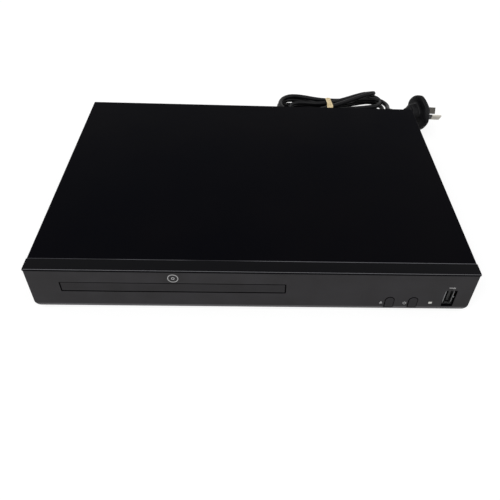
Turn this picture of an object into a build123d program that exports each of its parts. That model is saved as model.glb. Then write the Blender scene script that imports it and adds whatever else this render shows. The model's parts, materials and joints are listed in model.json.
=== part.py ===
"""DVD player: a slim housing with a front loading tray, its loader, its boards and its mains lead.

Millimetres. X runs to the right, Y to the rear and Z up. The feet stand on Z = 0, and the origin
lies under the middle of the player.
"""

from build123d import *
from math import acos, cos, pi, radians, sin, sqrt, tan
import os

os.makedirs("parts", exist_ok=True)

# Housing
width = 300.0
depth = 220.0
housing_height = 33.0
foot_height = 4.0
cover_steel = 0.8
pan_steel = 1.0
fit = 0.2
jack_reach = 8.0

front = -(depth + jack_reach) / 2
rear = front + depth
top = foot_height + housing_height
pan_top = foot_height + pan_steel
inner_top = top - cover_steel
inner_side = width / 2 - cover_steel
pan_side = inner_side - fit
pan_rear = rear - cover_steel
wall_rear = pan_rear - pan_steel

# Front panel
panel_depth = 10.0
panel_wall = 2.2
panel_lip = 0.5
lip_height = 1.4
panel_corner = 4.0
panel_drop = 2.0
panel_low = foot_height - panel_drop
face = front + panel_lip
panel_back = front + panel_depth
panel_inside = face + panel_wall
side = width / 2

# Loader
loader_x = 95.8 - side
door_width = 149.0
door_height = 7.5
door_low = 16.8
door_gap = 0.7
door_thick = 2.4
door_recess = 0.1
tray_width = 136.0
tray_play = 0.3
tray_low = 17.6
tray_top = 24.6
tray_floor = 20.2
tray_stroke = 132.0
tray_kept = 45.0
tray_length = tray_stroke + tray_kept
disc_y = front + 70.0
disc_room = 60.5
small_disc_room = 40.5
disc_seat = 22.0
slot_half = 18.0
frame_wall = 2.5
frame_low = 9.0
plate_thick = 1.5
frame_front = front + 13.0
frame_rear = disc_y + 114.0
door_face = face + door_recess
tray_front = door_face + door_thick
frame_inner = tray_width / 2 + tray_play
plate_top = frame_low + plate_thick

# Gears
rack_module = 1.0
gear_module = 0.8
sled_module = 0.6
pressure_angle = radians(20)
tooth_play = 0.16
pinion_teeth = 12
wheel_teeth = 36
sled_teeth = 24
gear_y = front + 28.0
rack_line = loader_x + 40.0
axle_play = 0.05

# Traverse deck
deck_half = 37.0
deck_front = disc_y - 16.0
deck_rear = disc_y + 96.0
deck_low = 14.0
deck_thick = 1.2
hinge_y = disc_y + 92.0
hinge_z = 14.6
hinge_radius = 1.5
tilt = 3.0
cam_pin_radius = 1.2
cam_pin_y = deck_front - 3.8
rod_x = 15.5
rod_z = 17.2
rod_radius = 1.5
pickup_travel = 34.0
pickup_front = disc_y + 16.5
pickup_rear = disc_y + 39.0
deck_top = deck_low + deck_thick
cam_travel = (hinge_y - cam_pin_y) * radians(tilt)

# Boards
board_z = 11.0
board_thick = 1.6
board_top = board_z + board_thick
board_gap = 0.2
main_low = (side - 122.0, wall_rear - 84.2)
main_high = (side - 50.0, wall_rear - board_gap)
power_low = (side - 46.0, wall_rear - 94.2)
power_high = (side - 5.0, wall_rear - 6.0)

# Front controls
button_width = 6.0
button_low = panel_low + 1.4
button_top = 13.4
button_gap = 0.4
button_travel = 0.6
eject_x = side - 56.5
power_x = side - 40.0
lens_x = side - 27.6
lens_z = 8.1
usb_x = side - 15.4
usb_z = 12.7
usb_height = 13.1
usb_width = 5.7
usb_depth = 12.6
front_board_y = front + 15.0
switch_depth = 3.6

# Mains lead
cord_diameter = 4.4
gland_x = side - 26.0
gland_z = 12.0
boot_reach = 14.0
hank_middle = (76.5, 154.0)
hank_turn = 6.0
hank_run = 42.3
hank_fold = 15.5
hank_waist = 9.1
hank_step = 5.1
waist_step = 5.2
layer_step = 4.9
hank_low = 3.3
layer_stations = 12
last_station = 47
plug_high = 19.0
plug_turn = 8.0
plug_dip = 6.0
plug_face = (170.0, 132.5, plug_high * cos(radians(plug_dip)))
plug_neck = 19.0

ACROSS = Plane.YZ
UPRIGHT = Plane.XZ


def block(low, high, mode=Mode.ADD):
    """Add a box between two opposite corners to the part being made, or cut it away."""
    size = [b - a for a, b in zip(low, high)]
    middle = [(a + b) / 2 for a, b in zip(low, high)]
    with Locations(tuple(middle)):
        Box(*size, mode=mode)


def rod(start, radius, length, direction=(0, 0, 1), mode=Mode.ADD):
    """Add or cut a cylinder that starts at a point and runs along a direction."""
    with Locations(Plane(origin=start, z_dir=direction)):
        Cylinder(radius, length, align=(Align.CENTER, Align.CENTER, Align.MIN), mode=mode)


def slots(middle, count, size):
    """Cut a grid of straight vent slots through the floor of the pan."""
    with Locations(middle):
        with GridLocations(vent_step[0], vent_step[1], *count):
            Box(*size, 4 * pan_steel, mode=Mode.SUBTRACT)


def finish(part, name):
    """Label one finished piece and write it."""
    part.part.label = name
    export_step(part.part, f"parts/{name}.step")


def involute(angle):
    """The angle that an involute has turned where its pressure angle is the one given."""
    return tan(angle) - angle


def gear_face(teeth, module, turn=0.0):
    """Draw a spur gear: involute flanks of four points from the base circle to short tips."""
    pitch = module * teeth / 2
    base = pitch * cos(pressure_angle)
    tip = pitch + 0.7 * module
    root = pitch - 1.0 * module
    half = (pi * module / 2 - tooth_play) / 2 / pitch + involute(pressure_angle)
    start = max(base, root)
    flank = []
    for step in range(4):
        radius = start + (tip - start) * step / 3
        flank.append((radius, half - involute(acos(base / radius))))
    if root < start:
        flank.insert(0, (root, flank[0][1]))
    tooth_line = [(radius, -angle) for radius, angle in flank] + flank[::-1]
    points = []
    for tooth in range(teeth):
        middle = 2 * pi * tooth / teeth + turn
        points += [(r * cos(middle + a), r * sin(middle + a)) for r, a in tooth_line]
    with BuildLine() as outline:
        Polyline(*points, close=True)
    make_face(outline.edges())


def rack_face(module, first, last, phase, side, body):
    """Draw a rack along Y: straight 20 degree teeth that point to one side of its pitch line.

    The middle of a gap lies at phase, and the pitch line at X = 0.
    """
    pitch = pi * module
    tip = 0.7 * module
    root = 1.0 * module
    half = (pitch / 2 - tooth_play) / 2
    count = int((last - first) / pitch)
    base = round((first - phase) / pitch) + 0.5
    points = [(-side * (root + body), first)]
    for tooth in range(1, count):
        middle = phase + (base + tooth) * pitch
        narrow = half - tip * tan(pressure_angle)
        broad = half + root * tan(pressure_angle)
        points += [(-side * root, middle - broad), (side * tip, middle - narrow)]
        points += [(side * tip, middle + narrow), (-side * root, middle + broad)]
    points.append((-side * (root + body), last))
    points.insert(1, (-side * root, first))
    points.insert(-1, (-side * root, last))
    with BuildLine() as outline:
        Polyline(*points, close=True)
    make_face(outline.edges())


def corner_radii(route):
    """The arc at each corner of a route: 0.45 of its shorter run over the tangent of half its turn."""
    radii = []
    for before, here, after in zip(route, route[1:], route[2:]):
        first = Vector(*here) - Vector(*before)
        second = Vector(*after) - Vector(*here)
        half = radians(first.get_angle(second)) / 2
        radii.append(0.45 * min(first.length, second.length) / tan(half))
    return radii


def arc_middle(start, direction, end):
    """The middle of the arc that leaves start along a direction and reaches end."""
    chord = end - start
    along = chord.normalized()
    aside = direction - along * direction.dot(along)
    if aside.length < 1e-9:
        return start + chord / 2
    half = acos(max(-1.0, min(1.0, direction.dot(along))))
    return start + chord / 2 + aside.normalized() * (chord.length / 2 * tan(half / 2))


def biarc(start, start_way, end, end_way):
    """Two arcs that join two points and meet both directions: each one as start, middle, end."""
    chord = end - start
    ways = start_way + end_way
    a = 2 * (start_way.dot(end_way) - 1)
    b = -2 * chord.dot(ways)
    c = chord.dot(chord)
    reach = -c / b if abs(a) < 1e-9 else (-b - sqrt(b * b - 4 * a * c)) / (2 * a)
    join = (start + start_way * reach + end - end_way * reach) / 2
    return [
        (start, arc_middle(start, start_way, join), join),
        (join, arc_middle(end, end_way * -1, join), end),
    ]


def hank_station(index):
    """One of eight stations in each turn of the hank, with the way the lead runs there.

    The lead starts on the near side of the waist. It spirals in by one step a turn over twelve
    stations, climbs a layer along the next run, and spirals out again, four layers in all.
    """
    layer = (index - 2) // layer_stations if index > 1 else 0
    inside = (index - 2) % layer_stations + 1 if index > 1 else 0
    turned_in = inside / 8 if layer % 2 == 0 else (layer_stations - inside) / 8
    if layer > 0 and inside == 1:
        turned_in = layer_stations / 8 if layer % 2 else 1 / 8
    fold = hank_fold - hank_step * turned_in
    waist = hank_waist - waist_step * turned_in
    along, across, way = (
        (hank_run, -fold, (-1, 0)),
        (0, -waist, (-1, 0)),
        (-hank_run, -fold, (-1, 0)),
        (-hank_run - fold, 0, (0, 1)),
        (-hank_run, fold, (1, 0)),
        (0, waist, (1, 0)),
        (hank_run, fold, (1, 0)),
        (hank_run + fold, 0, (0, -1)),
    )[index % 8]
    c = cos(radians(hank_turn))
    s = sin(radians(hank_turn))
    place = Vector(
        hank_middle[0] + along * c - across * s,
        hank_middle[1] + along * s + across * c,
        hank_low + layer_step * layer,
    )
    return place, Vector(way[0] * c - way[1] * s, way[0] * s + way[1] * c, 0)


vent_step = (16.0, 9.0)

# Base pan: folded steel, with side flanges, a front flange, pressed posts and vents
post_radius = 3.5
screw_radius = 1.5
head_radius = 2.8
post_inset = 6.0
power_inset = 4.0
wing_reach = 65.0
wing_depth = 20.0
main_posts = [
    (main_low[0] + post_inset, main_low[1] + post_inset),
    (main_high[0] - 24.0, main_low[1] + post_inset),
    (main_low[0] + post_inset, main_high[1] - 20.0),
    (main_high[0] - 14.0, main_high[1] - 20.0),
    (main_low[0] - wing_reach + post_inset, main_high[1] - wing_depth + 5.0),
]
power_posts = [
    (power_low[0] + power_inset, power_low[1] + post_inset),
    (power_high[0] - power_inset, power_low[1] + post_inset),
    (power_low[0] + power_inset, power_high[1] - post_inset),
    (power_high[0] - power_inset, power_high[1] - post_inset),
]
ear_y = (gear_y, frame_rear - 10.0)
ear_reach = 8.0
frame_outer = frame_inner + frame_wall
loader_ears = [(loader_x + hand * (frame_outer + ear_reach / 2), y) for hand in (-1, 1) for y in ear_y]
ear_low = 10.0
ear_thick = 2.0
clip_x = (14.0 - side, loader_x, side - 90.0)
clip_width = 8.0
clip_low = 7.0
clip_thick = 2.5
foot_places = [(x, y) for x in (25.0 - side, side - 25.0) for y in (front + 24.0, rear - 21.0)]
foot_radius = 9.0
flange_front = panel_back + fit
side_screw_places = [(front + 42.0, 10.0), (rear - 30.0, 10.0)]
tab_x = (50.0 - side, side - 130.0)
tab_y = pan_rear - 7.2
flange_rise = 10.0

with BuildPart() as base_pan:
    block((-pan_side, flange_front, foot_height), (pan_side, pan_rear, pan_top))
    for hand in (-1, 1):
        low, high = sorted((hand * pan_side, hand * (pan_side - pan_steel)))
        block((low, front + 16, pan_top), (high, pan_rear - 5.2, pan_top + flange_rise))
    block((-pan_side + 2, flange_front, pan_top), (side - 72, flange_front + pan_steel, pan_top + 8))
    for x in clip_x:
        low = (x - clip_width / 2 - fit, flange_front - 1, clip_low - fit)
        high = (x + clip_width / 2 + fit, flange_front + 2, clip_low + clip_thick + fit)
        block(low, high, mode=Mode.SUBTRACT)
    for x, y in main_posts + power_posts:
        rod((x, y, pan_top), post_radius, board_z - pan_top)
        rod((x, y, foot_height), screw_radius, board_z, mode=Mode.SUBTRACT)
    for x, y in loader_ears:
        rod((x, y, pan_top), post_radius, ear_low - pan_top)
        rod((x, y, foot_height), screw_radius, ear_low, mode=Mode.SUBTRACT)
    for x, y in foot_places:
        rod((x, y, foot_height - 1), screw_radius + axle_play, 4, mode=Mode.SUBTRACT)
    for x in tab_x:
        rod((x, tab_y, foot_height - 1), screw_radius, 4, mode=Mode.SUBTRACT)
    slots((main_low[0] + 32, main_low[1] + 32, foot_height), (3, 4), (11, 2.4))
    slots(((power_low[0] + power_high[0]) / 2, power_low[1] + 44, foot_height), (1, 7), (22, 2.4))
    slots((loader_x, frame_rear + 10, foot_height), (7, 1), (11, 2.4))
    for hand in (-1, 1):
        for y, z in side_screw_places:
            start = (hand * (pan_side + 1), y, z)
            rod(start, screw_radius + axle_play, 4, direction=(-hand, 0, 0), mode=Mode.SUBTRACT)
finish(base_pan, "base_pan")

# Rubber feet: a step up in the middle holds each one in its hole
with BuildPart() as feet:
    for x, y in foot_places:
        rod((x, y, 0), foot_radius, foot_height)
        rod((x, y, foot_height), screw_radius, pan_steel)
    chamfer(feet.faces().sort_by(Axis.Z)[:4].edges(), 0.8)
finish(feet, "feet")

# Rear panel: stands on the pan and carries the sockets and the gland
bend = 1.1
jack_pitch = 12.5
jack_first = main_low[0] - 56.0
jack_count = 4
jack_z = 19.0
jack_radius = 4.15
collar_radius = 5.2
collar_thick = 1.4
jack_places = [jack_first + jack_pitch * index for index in range(jack_count)]
hdmi_x = side - 58.5
hdmi_width = 15.0
hdmi_height = 5.6
gland_half = 5.0
rear_screw_x = (20.0 - side, 0.0, side - 40.0)
rear_screw_z = top - 4.0
rear_vent_x = 75.0 - side
tab_half = 10.0

with BuildPart() as rear_panel:
    block((-pan_side, wall_rear, pan_top), (pan_side, pan_rear, inner_top))
    fillet(rear_panel.edges().filter_by(Axis.Y).group_by(Axis.Z)[-1], bend)
    for x in tab_x:
        block((x - tab_half, wall_rear - 9, pan_top), (x + tab_half, wall_rear, pan_top + pan_steel))
        rod((x, tab_y, pan_top - 1), screw_radius + axle_play, 4, mode=Mode.SUBTRACT)
    for x in jack_places:
        rod((x, wall_rear - 1, jack_z), jack_radius + fit, 4, direction=(0, 1, 0), mode=Mode.SUBTRACT)
    low = (hdmi_x - hdmi_width / 2 - fit, wall_rear - 1, board_top - fit)
    high = (hdmi_x + hdmi_width / 2 + fit, pan_rear + 1, board_top + hdmi_height + fit)
    block(low, high, mode=Mode.SUBTRACT)
    rod((gland_x, wall_rear - 1, gland_z), gland_half, 4, direction=(0, 1, 0), mode=Mode.SUBTRACT)
    for x in rear_screw_x:
        start = (x, wall_rear - 1, rear_screw_z)
        rod(start, screw_radius, 4, direction=(0, 1, 0), mode=Mode.SUBTRACT)
    with BuildSketch(UPRIGHT.offset(-wall_rear)):
        with Locations((rear_vent_x, 20)):
            with GridLocations(6, 14, 14, 1):
                SlotOverall(14, 2.4, rotation=90)
    extrude(amount=-pan_steel, mode=Mode.SUBTRACT)
finish(rear_panel, "rear_panel")

# Top cover: one sheet folded over both sides, with a lip over the rear panel
cover_front = panel_back + fit
lip_drop = 8.0
side_drop = foot_height + 0.6

with BuildPart() as top_cover:
    with BuildSketch(UPRIGHT.offset(-cover_front)):
        with BuildLine():
            FilletPolyline(
                (-width / 2, side_drop), (-width / 2, top), (width / 2, top), (width / 2, side_drop),
                radius=bend,
            )
            Polyline((width / 2, side_drop), (inner_side, side_drop))
            FilletPolyline(
                (inner_side, side_drop), (inner_side, inner_top), (-inner_side, inner_top),
                (-inner_side, side_drop), radius=bend - cover_steel,
            )
            Polyline((-inner_side, side_drop), (-width / 2, side_drop))
        make_face()
    extrude(amount=-(rear - cover_front))
    block((-inner_side, pan_rear, inner_top - lip_drop), (inner_side, rear, inner_top + 0.2))
    for x in rear_screw_x:
        start = (x, pan_rear - 1, rear_screw_z)
        rod(start, screw_radius + axle_play, 4, direction=(0, 1, 0), mode=Mode.SUBTRACT)
    for hand in (-1, 1):
        with BuildSketch(ACROSS.offset(hand * width / 2)):
            with Locations((rear - 46, 24)):
                with GridLocations(5, 12, 9, 1):
                    SlotOverall(12, 2.0, rotation=90)
        extrude(amount=-hand * cover_steel, mode=Mode.SUBTRACT)
        for y, z in side_screw_places:
            with Locations(Plane(origin=(hand * width / 2, y, z), z_dir=(-hand, 0, 0))):
                Cone(
                    head_radius, screw_radius + fit, cover_steel + 0.01,
                    align=(Align.CENTER, Align.CENTER, Align.MIN), mode=Mode.SUBTRACT,
                )
finish(top_cover, "top_cover")

# Cover screws: four flush ones in the sides and three with round heads at the rear
head_thick = 1.6
recess_half = 1.6
recess_width = 0.6
recess_low = 0.9

with BuildPart() as cover_screws:
    for hand in (-1, 1):
        for y, z in side_screw_places:
            with Locations(Plane(origin=(hand * width / 2, y, z), z_dir=(-hand, 0, 0))):
                Cone(
                    head_radius - axle_play, screw_radius, cover_steel,
                    align=(Align.CENTER, Align.CENTER, Align.MIN),
                )
            start = (hand * (width / 2 - cover_steel), y, z)
            rod(start, screw_radius, 3, direction=(-hand, 0, 0))
    for x in rear_screw_x:
        rod((x, wall_rear, rear_screw_z), screw_radius - 0.02, rear - wall_rear, direction=(0, 1, 0))
        rod((x, rear, rear_screw_z), head_radius, head_thick, direction=(0, 1, 0))
        for across, up in ((recess_half, recess_width / 2), (recess_width / 2, recess_half)):
            low = (x - across, rear + recess_low, rear_screw_z - up)
            block(low, (x + across, rear + 2, rear_screw_z + up), mode=Mode.SUBTRACT)
finish(cover_screws, "cover_screws")

# Front panel: a moulded shell with a door slot, two arched button openings and a port
button_places = (eject_x, power_x)
front_post_z = top - 6.0
front_posts = [
    (eject_x - 6.5, front_post_z), (side - 35.0, front_post_z), (side - 6.6, front_post_z),
    (eject_x + 8.3, 20.0),
]
front_post_radius = 2.4
lens_width = 2.4
lens_height = 2.0
slot_low = door_low - door_gap
slot_high = door_low + door_height + door_gap
port_width = 8.2
port_height = 16.0
edge_round = 0.4
button_proud = 0.4
button_face = face - button_proud

with BuildPart() as front_panel:
    with BuildSketch(UPRIGHT.offset(-face)):
        with Locations((0, (panel_low + top) / 2)):
            outline = Rectangle(width, top - panel_low)
        fillet(outline.vertices().group_by(Axis.Y)[0], panel_corner)
    extrude(amount=-(panel_back - face))
    fillet(front_panel.faces().sort_by(Axis.Y)[0].edges().sort_by(Axis.Z)[:-1], edge_round)
    low = (-width / 2 + panel_wall, panel_inside, panel_low + 2)
    high = (width / 2 - panel_wall, panel_back, top - 2)
    block(low, high, mode=Mode.SUBTRACT)
    block((-width / 2, front, top - lip_height), (width / 2, face, top))
    fillet(front_panel.edges().filter_by(Axis.X).group_by(Axis.Z)[-1].sort_by(Axis.Y)[0], 0.3)
    tongue_low = (-inner_side + 2, panel_back - 2, inner_top - 2.2)
    block(tongue_low, (inner_side - 2, panel_back + 4, inner_top - fit))
    with BuildSketch(UPRIGHT.offset(-face)):
        with Locations((loader_x, (slot_low + slot_high) / 2)):
            RectangleRounded(door_width + 2 * door_gap, slot_high - slot_low, 0.6)
        for x in button_places:
            arch = button_width / 2 + button_gap
            with Locations((x, button_top + button_gap - arch)):
                Circle(arch)
            with Locations((x, (button_low - button_gap + button_top + button_gap - arch) / 2)):
                Rectangle(2 * arch, button_top - arch + 2 * button_gap - button_low)
        with Locations((lens_x, lens_z)):
            Rectangle(lens_width + fit, lens_height + fit)
        with Locations((usb_x, usb_z)):
            RectangleRounded(port_width, port_height, 0.8)
    extrude(amount=-panel_wall, mode=Mode.SUBTRACT)
    for x in button_places:
        arch = button_width / 2 + button_gap
        low = (x - arch, face + 1, button_low - button_gap)
        block(low, (x + arch, panel_inside + 2, foot_height + 3), Mode.SUBTRACT)
    for x, z in front_posts:
        rod((x, panel_inside, z), front_post_radius, front_board_y - panel_inside, direction=(0, 1, 0))
        rod((x, front_board_y - 6, z), 1.0, 7, direction=(0, 1, 0), mode=Mode.SUBTRACT)
    for x in clip_x:
        low = (x - clip_width / 2, panel_inside, clip_low)
        block(low, (x + clip_width / 2, flange_front + pan_steel + 1.6, clip_low + clip_thick))
        nib_low = (x - clip_width / 2, flange_front + pan_steel + fit, clip_low + clip_thick)
        block(nib_low, (x + clip_width / 2, flange_front + pan_steel + 1.6, clip_low + clip_thick + 1.2))
finish(front_panel, "front_panel")

# Buttons: arched caps with a stem, each pushing its own switch plunger
stem_radius = 1.6
plunger_radius = 1.4
plunger_reach = 1.6
switch_front = front_board_y - switch_depth
plunger_front = switch_front - plunger_reach
flange_gap = 0.25

for button_name, plunger_name, x in (
    ("eject_button", "eject_plunger", eject_x),
    ("power_button", "power_plunger", power_x),
):
    with BuildPart() as button:
        half = button_width / 2
        with BuildSketch(UPRIGHT.offset(-button_face)):
            with Locations((x, button_top - half)):
                Circle(half)
            with Locations((x, (button_low + button_top - half) / 2)):
                Rectangle(button_width, button_top - half - button_low)
        extrude(amount=-(panel_inside + flange_gap - button_face))
        chamfer(button.faces().sort_by(Axis.Y)[0].edges(), 0.25)
        low = (x - half - 1.2, panel_inside + flange_gap, foot_height + 3.2)
        block(low, (x + half + 1.2, panel_inside + flange_gap + 1, button_top + 1.2))
        stem_start = (x, panel_inside + flange_gap, 9.5)
        rod(stem_start, stem_radius, plunger_front - stem_start[1], direction=(0, 1, 0))
    finish(button, button_name)
    with BuildPart() as plunger:
        rod((x, plunger_front, 9.5), plunger_radius, plunger_reach + button_travel, direction=(0, 1, 0))
    finish(plunger, plunger_name)

# Front board: upright on the panel's posts, with the switches, the lamp, the receiver and the port
with BuildPart() as front_board:
    with BuildSketch(UPRIGHT.offset(-front_board_y)):
        with Locations((eject_x - 10.5, 7.5)):
            Rectangle(side - 3.5 - (eject_x - 10.5), top - 3.6 - 7.5, align=(Align.MIN, Align.MIN))
        for x, z in front_posts:
            with Locations((x, z)):
                Circle(1.2, mode=Mode.SUBTRACT)
    extrude(amount=-board_thick)
finish(front_board, "front_board")

with BuildPart() as key_switches:
    for x in button_places:
        block((x - 3, switch_front, 6.8), (x + 3, front_board_y, 12.4))
        start = (x, switch_front - 1, 9.5)
        well = plunger_radius + axle_play
        rod(start, well, 1 + 2 * button_travel + axle_play, direction=(0, 1, 0), mode=Mode.SUBTRACT)
finish(key_switches, "key_switches")

with BuildPart() as indicator_lens:
    low = (lens_x - lens_width / 2, face + 0.1, lens_z - lens_height / 2)
    block(low, (lens_x + lens_width / 2, panel_inside + 0.1, lens_z + lens_height / 2))
    low = (lens_x - lens_width / 2 - 1, panel_inside + 0.02, lens_z - lens_height / 2 - 1)
    block(low, (lens_x + lens_width / 2 + 1, panel_inside + 1, lens_z + lens_height / 2 + 1))
    rod((lens_x, panel_inside + 1, lens_z), 1.2, 3, direction=(0, 1, 0))
finish(indicator_lens, "indicator_lens")

with BuildPart() as indicator_lamp:
    rod((lens_x, panel_inside + 4.3, lens_z), 1.5, front_board_y - panel_inside - 4.3, direction=(0, 1, 0))
    rod((lens_x, front_board_y - 1, lens_z), 1.9, 1, direction=(0, 1, 0))
finish(indicator_lamp, "indicator_lamp")

with BuildPart() as infrared_sensor:
    eye_x = lens_x - 1.6
    block((eye_x - 3, front_board_y - 3, 17), (eye_x + 3, front_board_y, 24))
    rod((eye_x, front_board_y - 3, 21), 2.2, 1.6, direction=(0, -1, 0))
finish(infrared_sensor, "infrared_sensor")

# Upright port: a folded steel shell and the tongue that carries the contacts
usb_steel = 0.3
usb_front = front_board_y - usb_depth
with BuildPart() as usb_shell:
    low = (usb_x - usb_width / 2, usb_front, usb_z - usb_height / 2)
    high = (usb_x + usb_width / 2, front_board_y, usb_z + usb_height / 2)
    block(low, high)
    room = [(value + usb_steel) for value in low]
    room[1] = usb_front - 1
    top_room = [(value - usb_steel) for value in high]
    top_room[1] = front_board_y - 1
    block(room, top_room, mode=Mode.SUBTRACT)
    for hand in (-1, 1):
        x = usb_x + hand * (usb_width / 2 + usb_steel / 2)
        block((x - usb_steel / 2, usb_front, usb_z - 5), (x + usb_steel / 2, usb_front + 1.5, usb_z + 5))
finish(usb_shell, "usb_shell")

with BuildPart() as usb_tongue:
    low = (usb_x - 0.2, usb_front + 2, usb_z - 5.6)
    block(low, (usb_x + 1.7, front_board_y - 1, usb_z + 5.6))
    low = (usb_x - 2.5, front_board_y - 3, usb_z - 6.2)
    block(low, (usb_x + 2.5, front_board_y - 1, usb_z + 6.2))
finish(usb_tongue, "usb_tongue")

# Loader frame: two walls that guide the tray, joined by a gear plate and a rear plate
left = loader_x - frame_inner
right = loader_x + frame_inner
ledge = 4.0
ledge_top = tray_low - 0.15
guide_top = tray_top + 0.15
wall_top = 26.4
motor_x = loader_x - 40.8
motor_radius = 12.0
wheel_x = rack_line - rack_module * pinion_teeth / 2
pulley_x = wheel_x - gear_module * (wheel_teeth + pinion_teeth) / 2
axle_radius = 1.5
axle_top = 19.9
rim_rear = cam_pin_y - 1.3
rim_thick = 2.5
stud_x = 22.0
stud_z = 13.0
slider_thick = 2.0
hinge_block = 5.0

with BuildPart() as loader_frame:
    for low, high in ((left - frame_wall, left), (right, right + frame_wall)):
        block((low, frame_front, frame_low), (high, frame_rear, wall_top))
    block((left, frame_front, ledge_top - plate_thick), (left + ledge, frame_rear, ledge_top))
    block((right - ledge, frame_front, ledge_top - plate_thick), (right, frame_rear, ledge_top))
    for y in (gear_y - 4.0, disc_y + 40.0, frame_rear - 8.0):
        block((left, y - 6, guide_top), (left + ledge, y + 6, wall_top))
        block((right - ledge, y - 6, guide_top), (right, y + 6, wall_top))
    block((left, frame_front, frame_low), (right, rim_rear, plate_top))
    block((left, hinge_y - 5, frame_low), (right, frame_rear, plate_top))
    rim_low = (loader_x - 36, rim_rear - rim_thick, plate_top)
    block(rim_low, (loader_x + 16, rim_rear, 16.0))
    rim_low = (loader_x + 16, rim_rear - rim_thick, plate_top)
    block(rim_low, (loader_x + 30, rim_rear, 16.0))
    for hand in (-1, 1):
        start = (loader_x + hand * stud_x, rim_rear, stud_z)
        rod(start, 1.5, slider_thick + 0.7, direction=(0, 1, 0))
        start = (loader_x + hand * stud_x, rim_rear + slider_thick + 0.6, stud_z)
        rod(start, 2.6, 0.9, direction=(0, 1, 0))
        inner = loader_x + hand * (deck_half + 1)
        outer = inner + hand * hinge_block
        low, high = sorted((inner, outer))
        block((low, hinge_y - 4, plate_top), (high, hinge_y + 4, hinge_z + 2.4))
        start = (inner - hand, hinge_y, hinge_z)
        bore = hinge_radius + axle_play
        rod(start, bore, hinge_block + 2, direction=(hand, 0, 0), mode=Mode.SUBTRACT)
    rod((motor_x, gear_y, frame_low - 1), motor_radius + axle_play, 4, mode=Mode.SUBTRACT)
    for x in (wheel_x, pulley_x):
        rod((x, gear_y, plate_top), axle_radius, axle_top - plate_top)
        rod((x, gear_y, plate_top), axle_radius + 1.5, 0.4)
    for x, y in loader_ears:
        low = (x - ear_reach / 2 - 0.5, y - 6, ear_low)
        block(low, (x + ear_reach / 2 + 0.5, y + 6, ear_low + ear_thick))
        rod((x, y, ear_low - 1), screw_radius + axle_play, 5, mode=Mode.SUBTRACT)
finish(loader_frame, "loader_frame")

# Tray: two disc seats, a slot for the turntable that is open to the rear, and the rack below
tray_rear = tray_front + tray_length
rail = 6.0
with BuildPart() as tray:
    half = tray_width / 2
    block((loader_x - half, tray_front, tray_floor), (loader_x + half, tray_rear, tray_top))
    for hand in (-1, 1):
        low, high = sorted((loader_x + hand * half, loader_x + hand * (half - rail)))
        block((low, tray_front, tray_low), (high, tray_rear, tray_floor))
    block((loader_x - half, tray_front, tray_low + 0.2), (loader_x + half, tray_front + 2, tray_floor))
    rod((loader_x, disc_y, disc_seat), disc_room, 10, mode=Mode.SUBTRACT)
    rod((loader_x, disc_y, disc_seat - 0.9), small_disc_room, 10, mode=Mode.SUBTRACT)
    for hand in (-1, 1):
        rod((loader_x + hand * disc_room, disc_y, disc_seat), 6, 10, mode=Mode.SUBTRACT)
    rod((loader_x, disc_y, tray_low), slot_half + 1, 10, mode=Mode.SUBTRACT)
    low = (loader_x - slot_half, disc_y, tray_low)
    block(low, (loader_x + slot_half, tray_rear + 1, tray_top + 1), mode=Mode.SUBTRACT)
    for hand in (-1, 1):
        low, high = sorted((loader_x + hand * (slot_half + 4), loader_x + hand * (half - 4)))
        block((low, disc_y + disc_room + 5, disc_seat), (high, tray_rear - 4, tray_top + 1), Mode.SUBTRACT)
    with BuildSketch(Plane(origin=(rack_line, 0, tray_low))):
        rack_face(rack_module, tray_front + 4, tray_rear - 2, gear_y, -1, 2.6)
    extrude(amount=tray_floor - tray_low + 0.2)
finish(tray, "tray")

with BuildPart() as tray_door:
    low = (loader_x - door_width / 2, door_face, door_low)
    block(low, (loader_x + door_width / 2, tray_front, door_low + door_height))
    chamfer(tray_door.faces().sort_by(Axis.Y)[0].edges(), 0.2)
finish(tray_door, "tray_door")

# Loading drive: a flat motor, a belt, and two gears that end on the tray's rack
motor_top = 13.2
pulley_low = 13.9
pulley_high = 17.0
belt_thick = 1.2
belt_low = 14.85
motor_groove = 3.0
pulley_groove = 10.0
groove_half = 0.8

with BuildPart() as loading_motor:
    rod((motor_x, gear_y, pan_top + 0.4), motor_radius, motor_top - pan_top - 0.4)
    rod((motor_x, gear_y, plate_top), motor_radius + 1, 1)
    rod((motor_x, gear_y, motor_top), 3, 0.4)
    rod((motor_x, gear_y, plate_top), 1 + axle_play, 5, mode=Mode.SUBTRACT)
finish(loading_motor, "loading_motor")


def pulley(x, outer, groove):
    """Add a belt pulley: two flanges with a groove between them."""
    middle = belt_low + belt_thick / 2
    rod((x, gear_y, pulley_low), outer, middle - groove_half - pulley_low)
    rod((x, gear_y, middle - groove_half), groove, 2 * groove_half)
    rod((x, gear_y, middle + groove_half), outer, pulley_high - middle - groove_half)


with BuildPart() as motor_pulley:
    pulley(motor_x, 4.4, motor_groove)
    rod((motor_x, gear_y, plate_top + 0.4), 1, pulley_low - plate_top)
finish(motor_pulley, "motor_pulley")

wheel_low = plate_top + 0.5
wheel_high = 13.6
with BuildPart() as pulley_gear:
    pulley(pulley_x, 11.5, pulley_groove)
    with BuildSketch(Plane(origin=(pulley_x, gear_y, wheel_low))):
        gear_face(pinion_teeth, gear_module, turn=pi / pinion_teeth)
    extrude(amount=pulley_low - wheel_low)
    rod((pulley_x, gear_y, wheel_low - 1), axle_radius + axle_play, 9, mode=Mode.SUBTRACT)
finish(pulley_gear, "pulley_gear")

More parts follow.
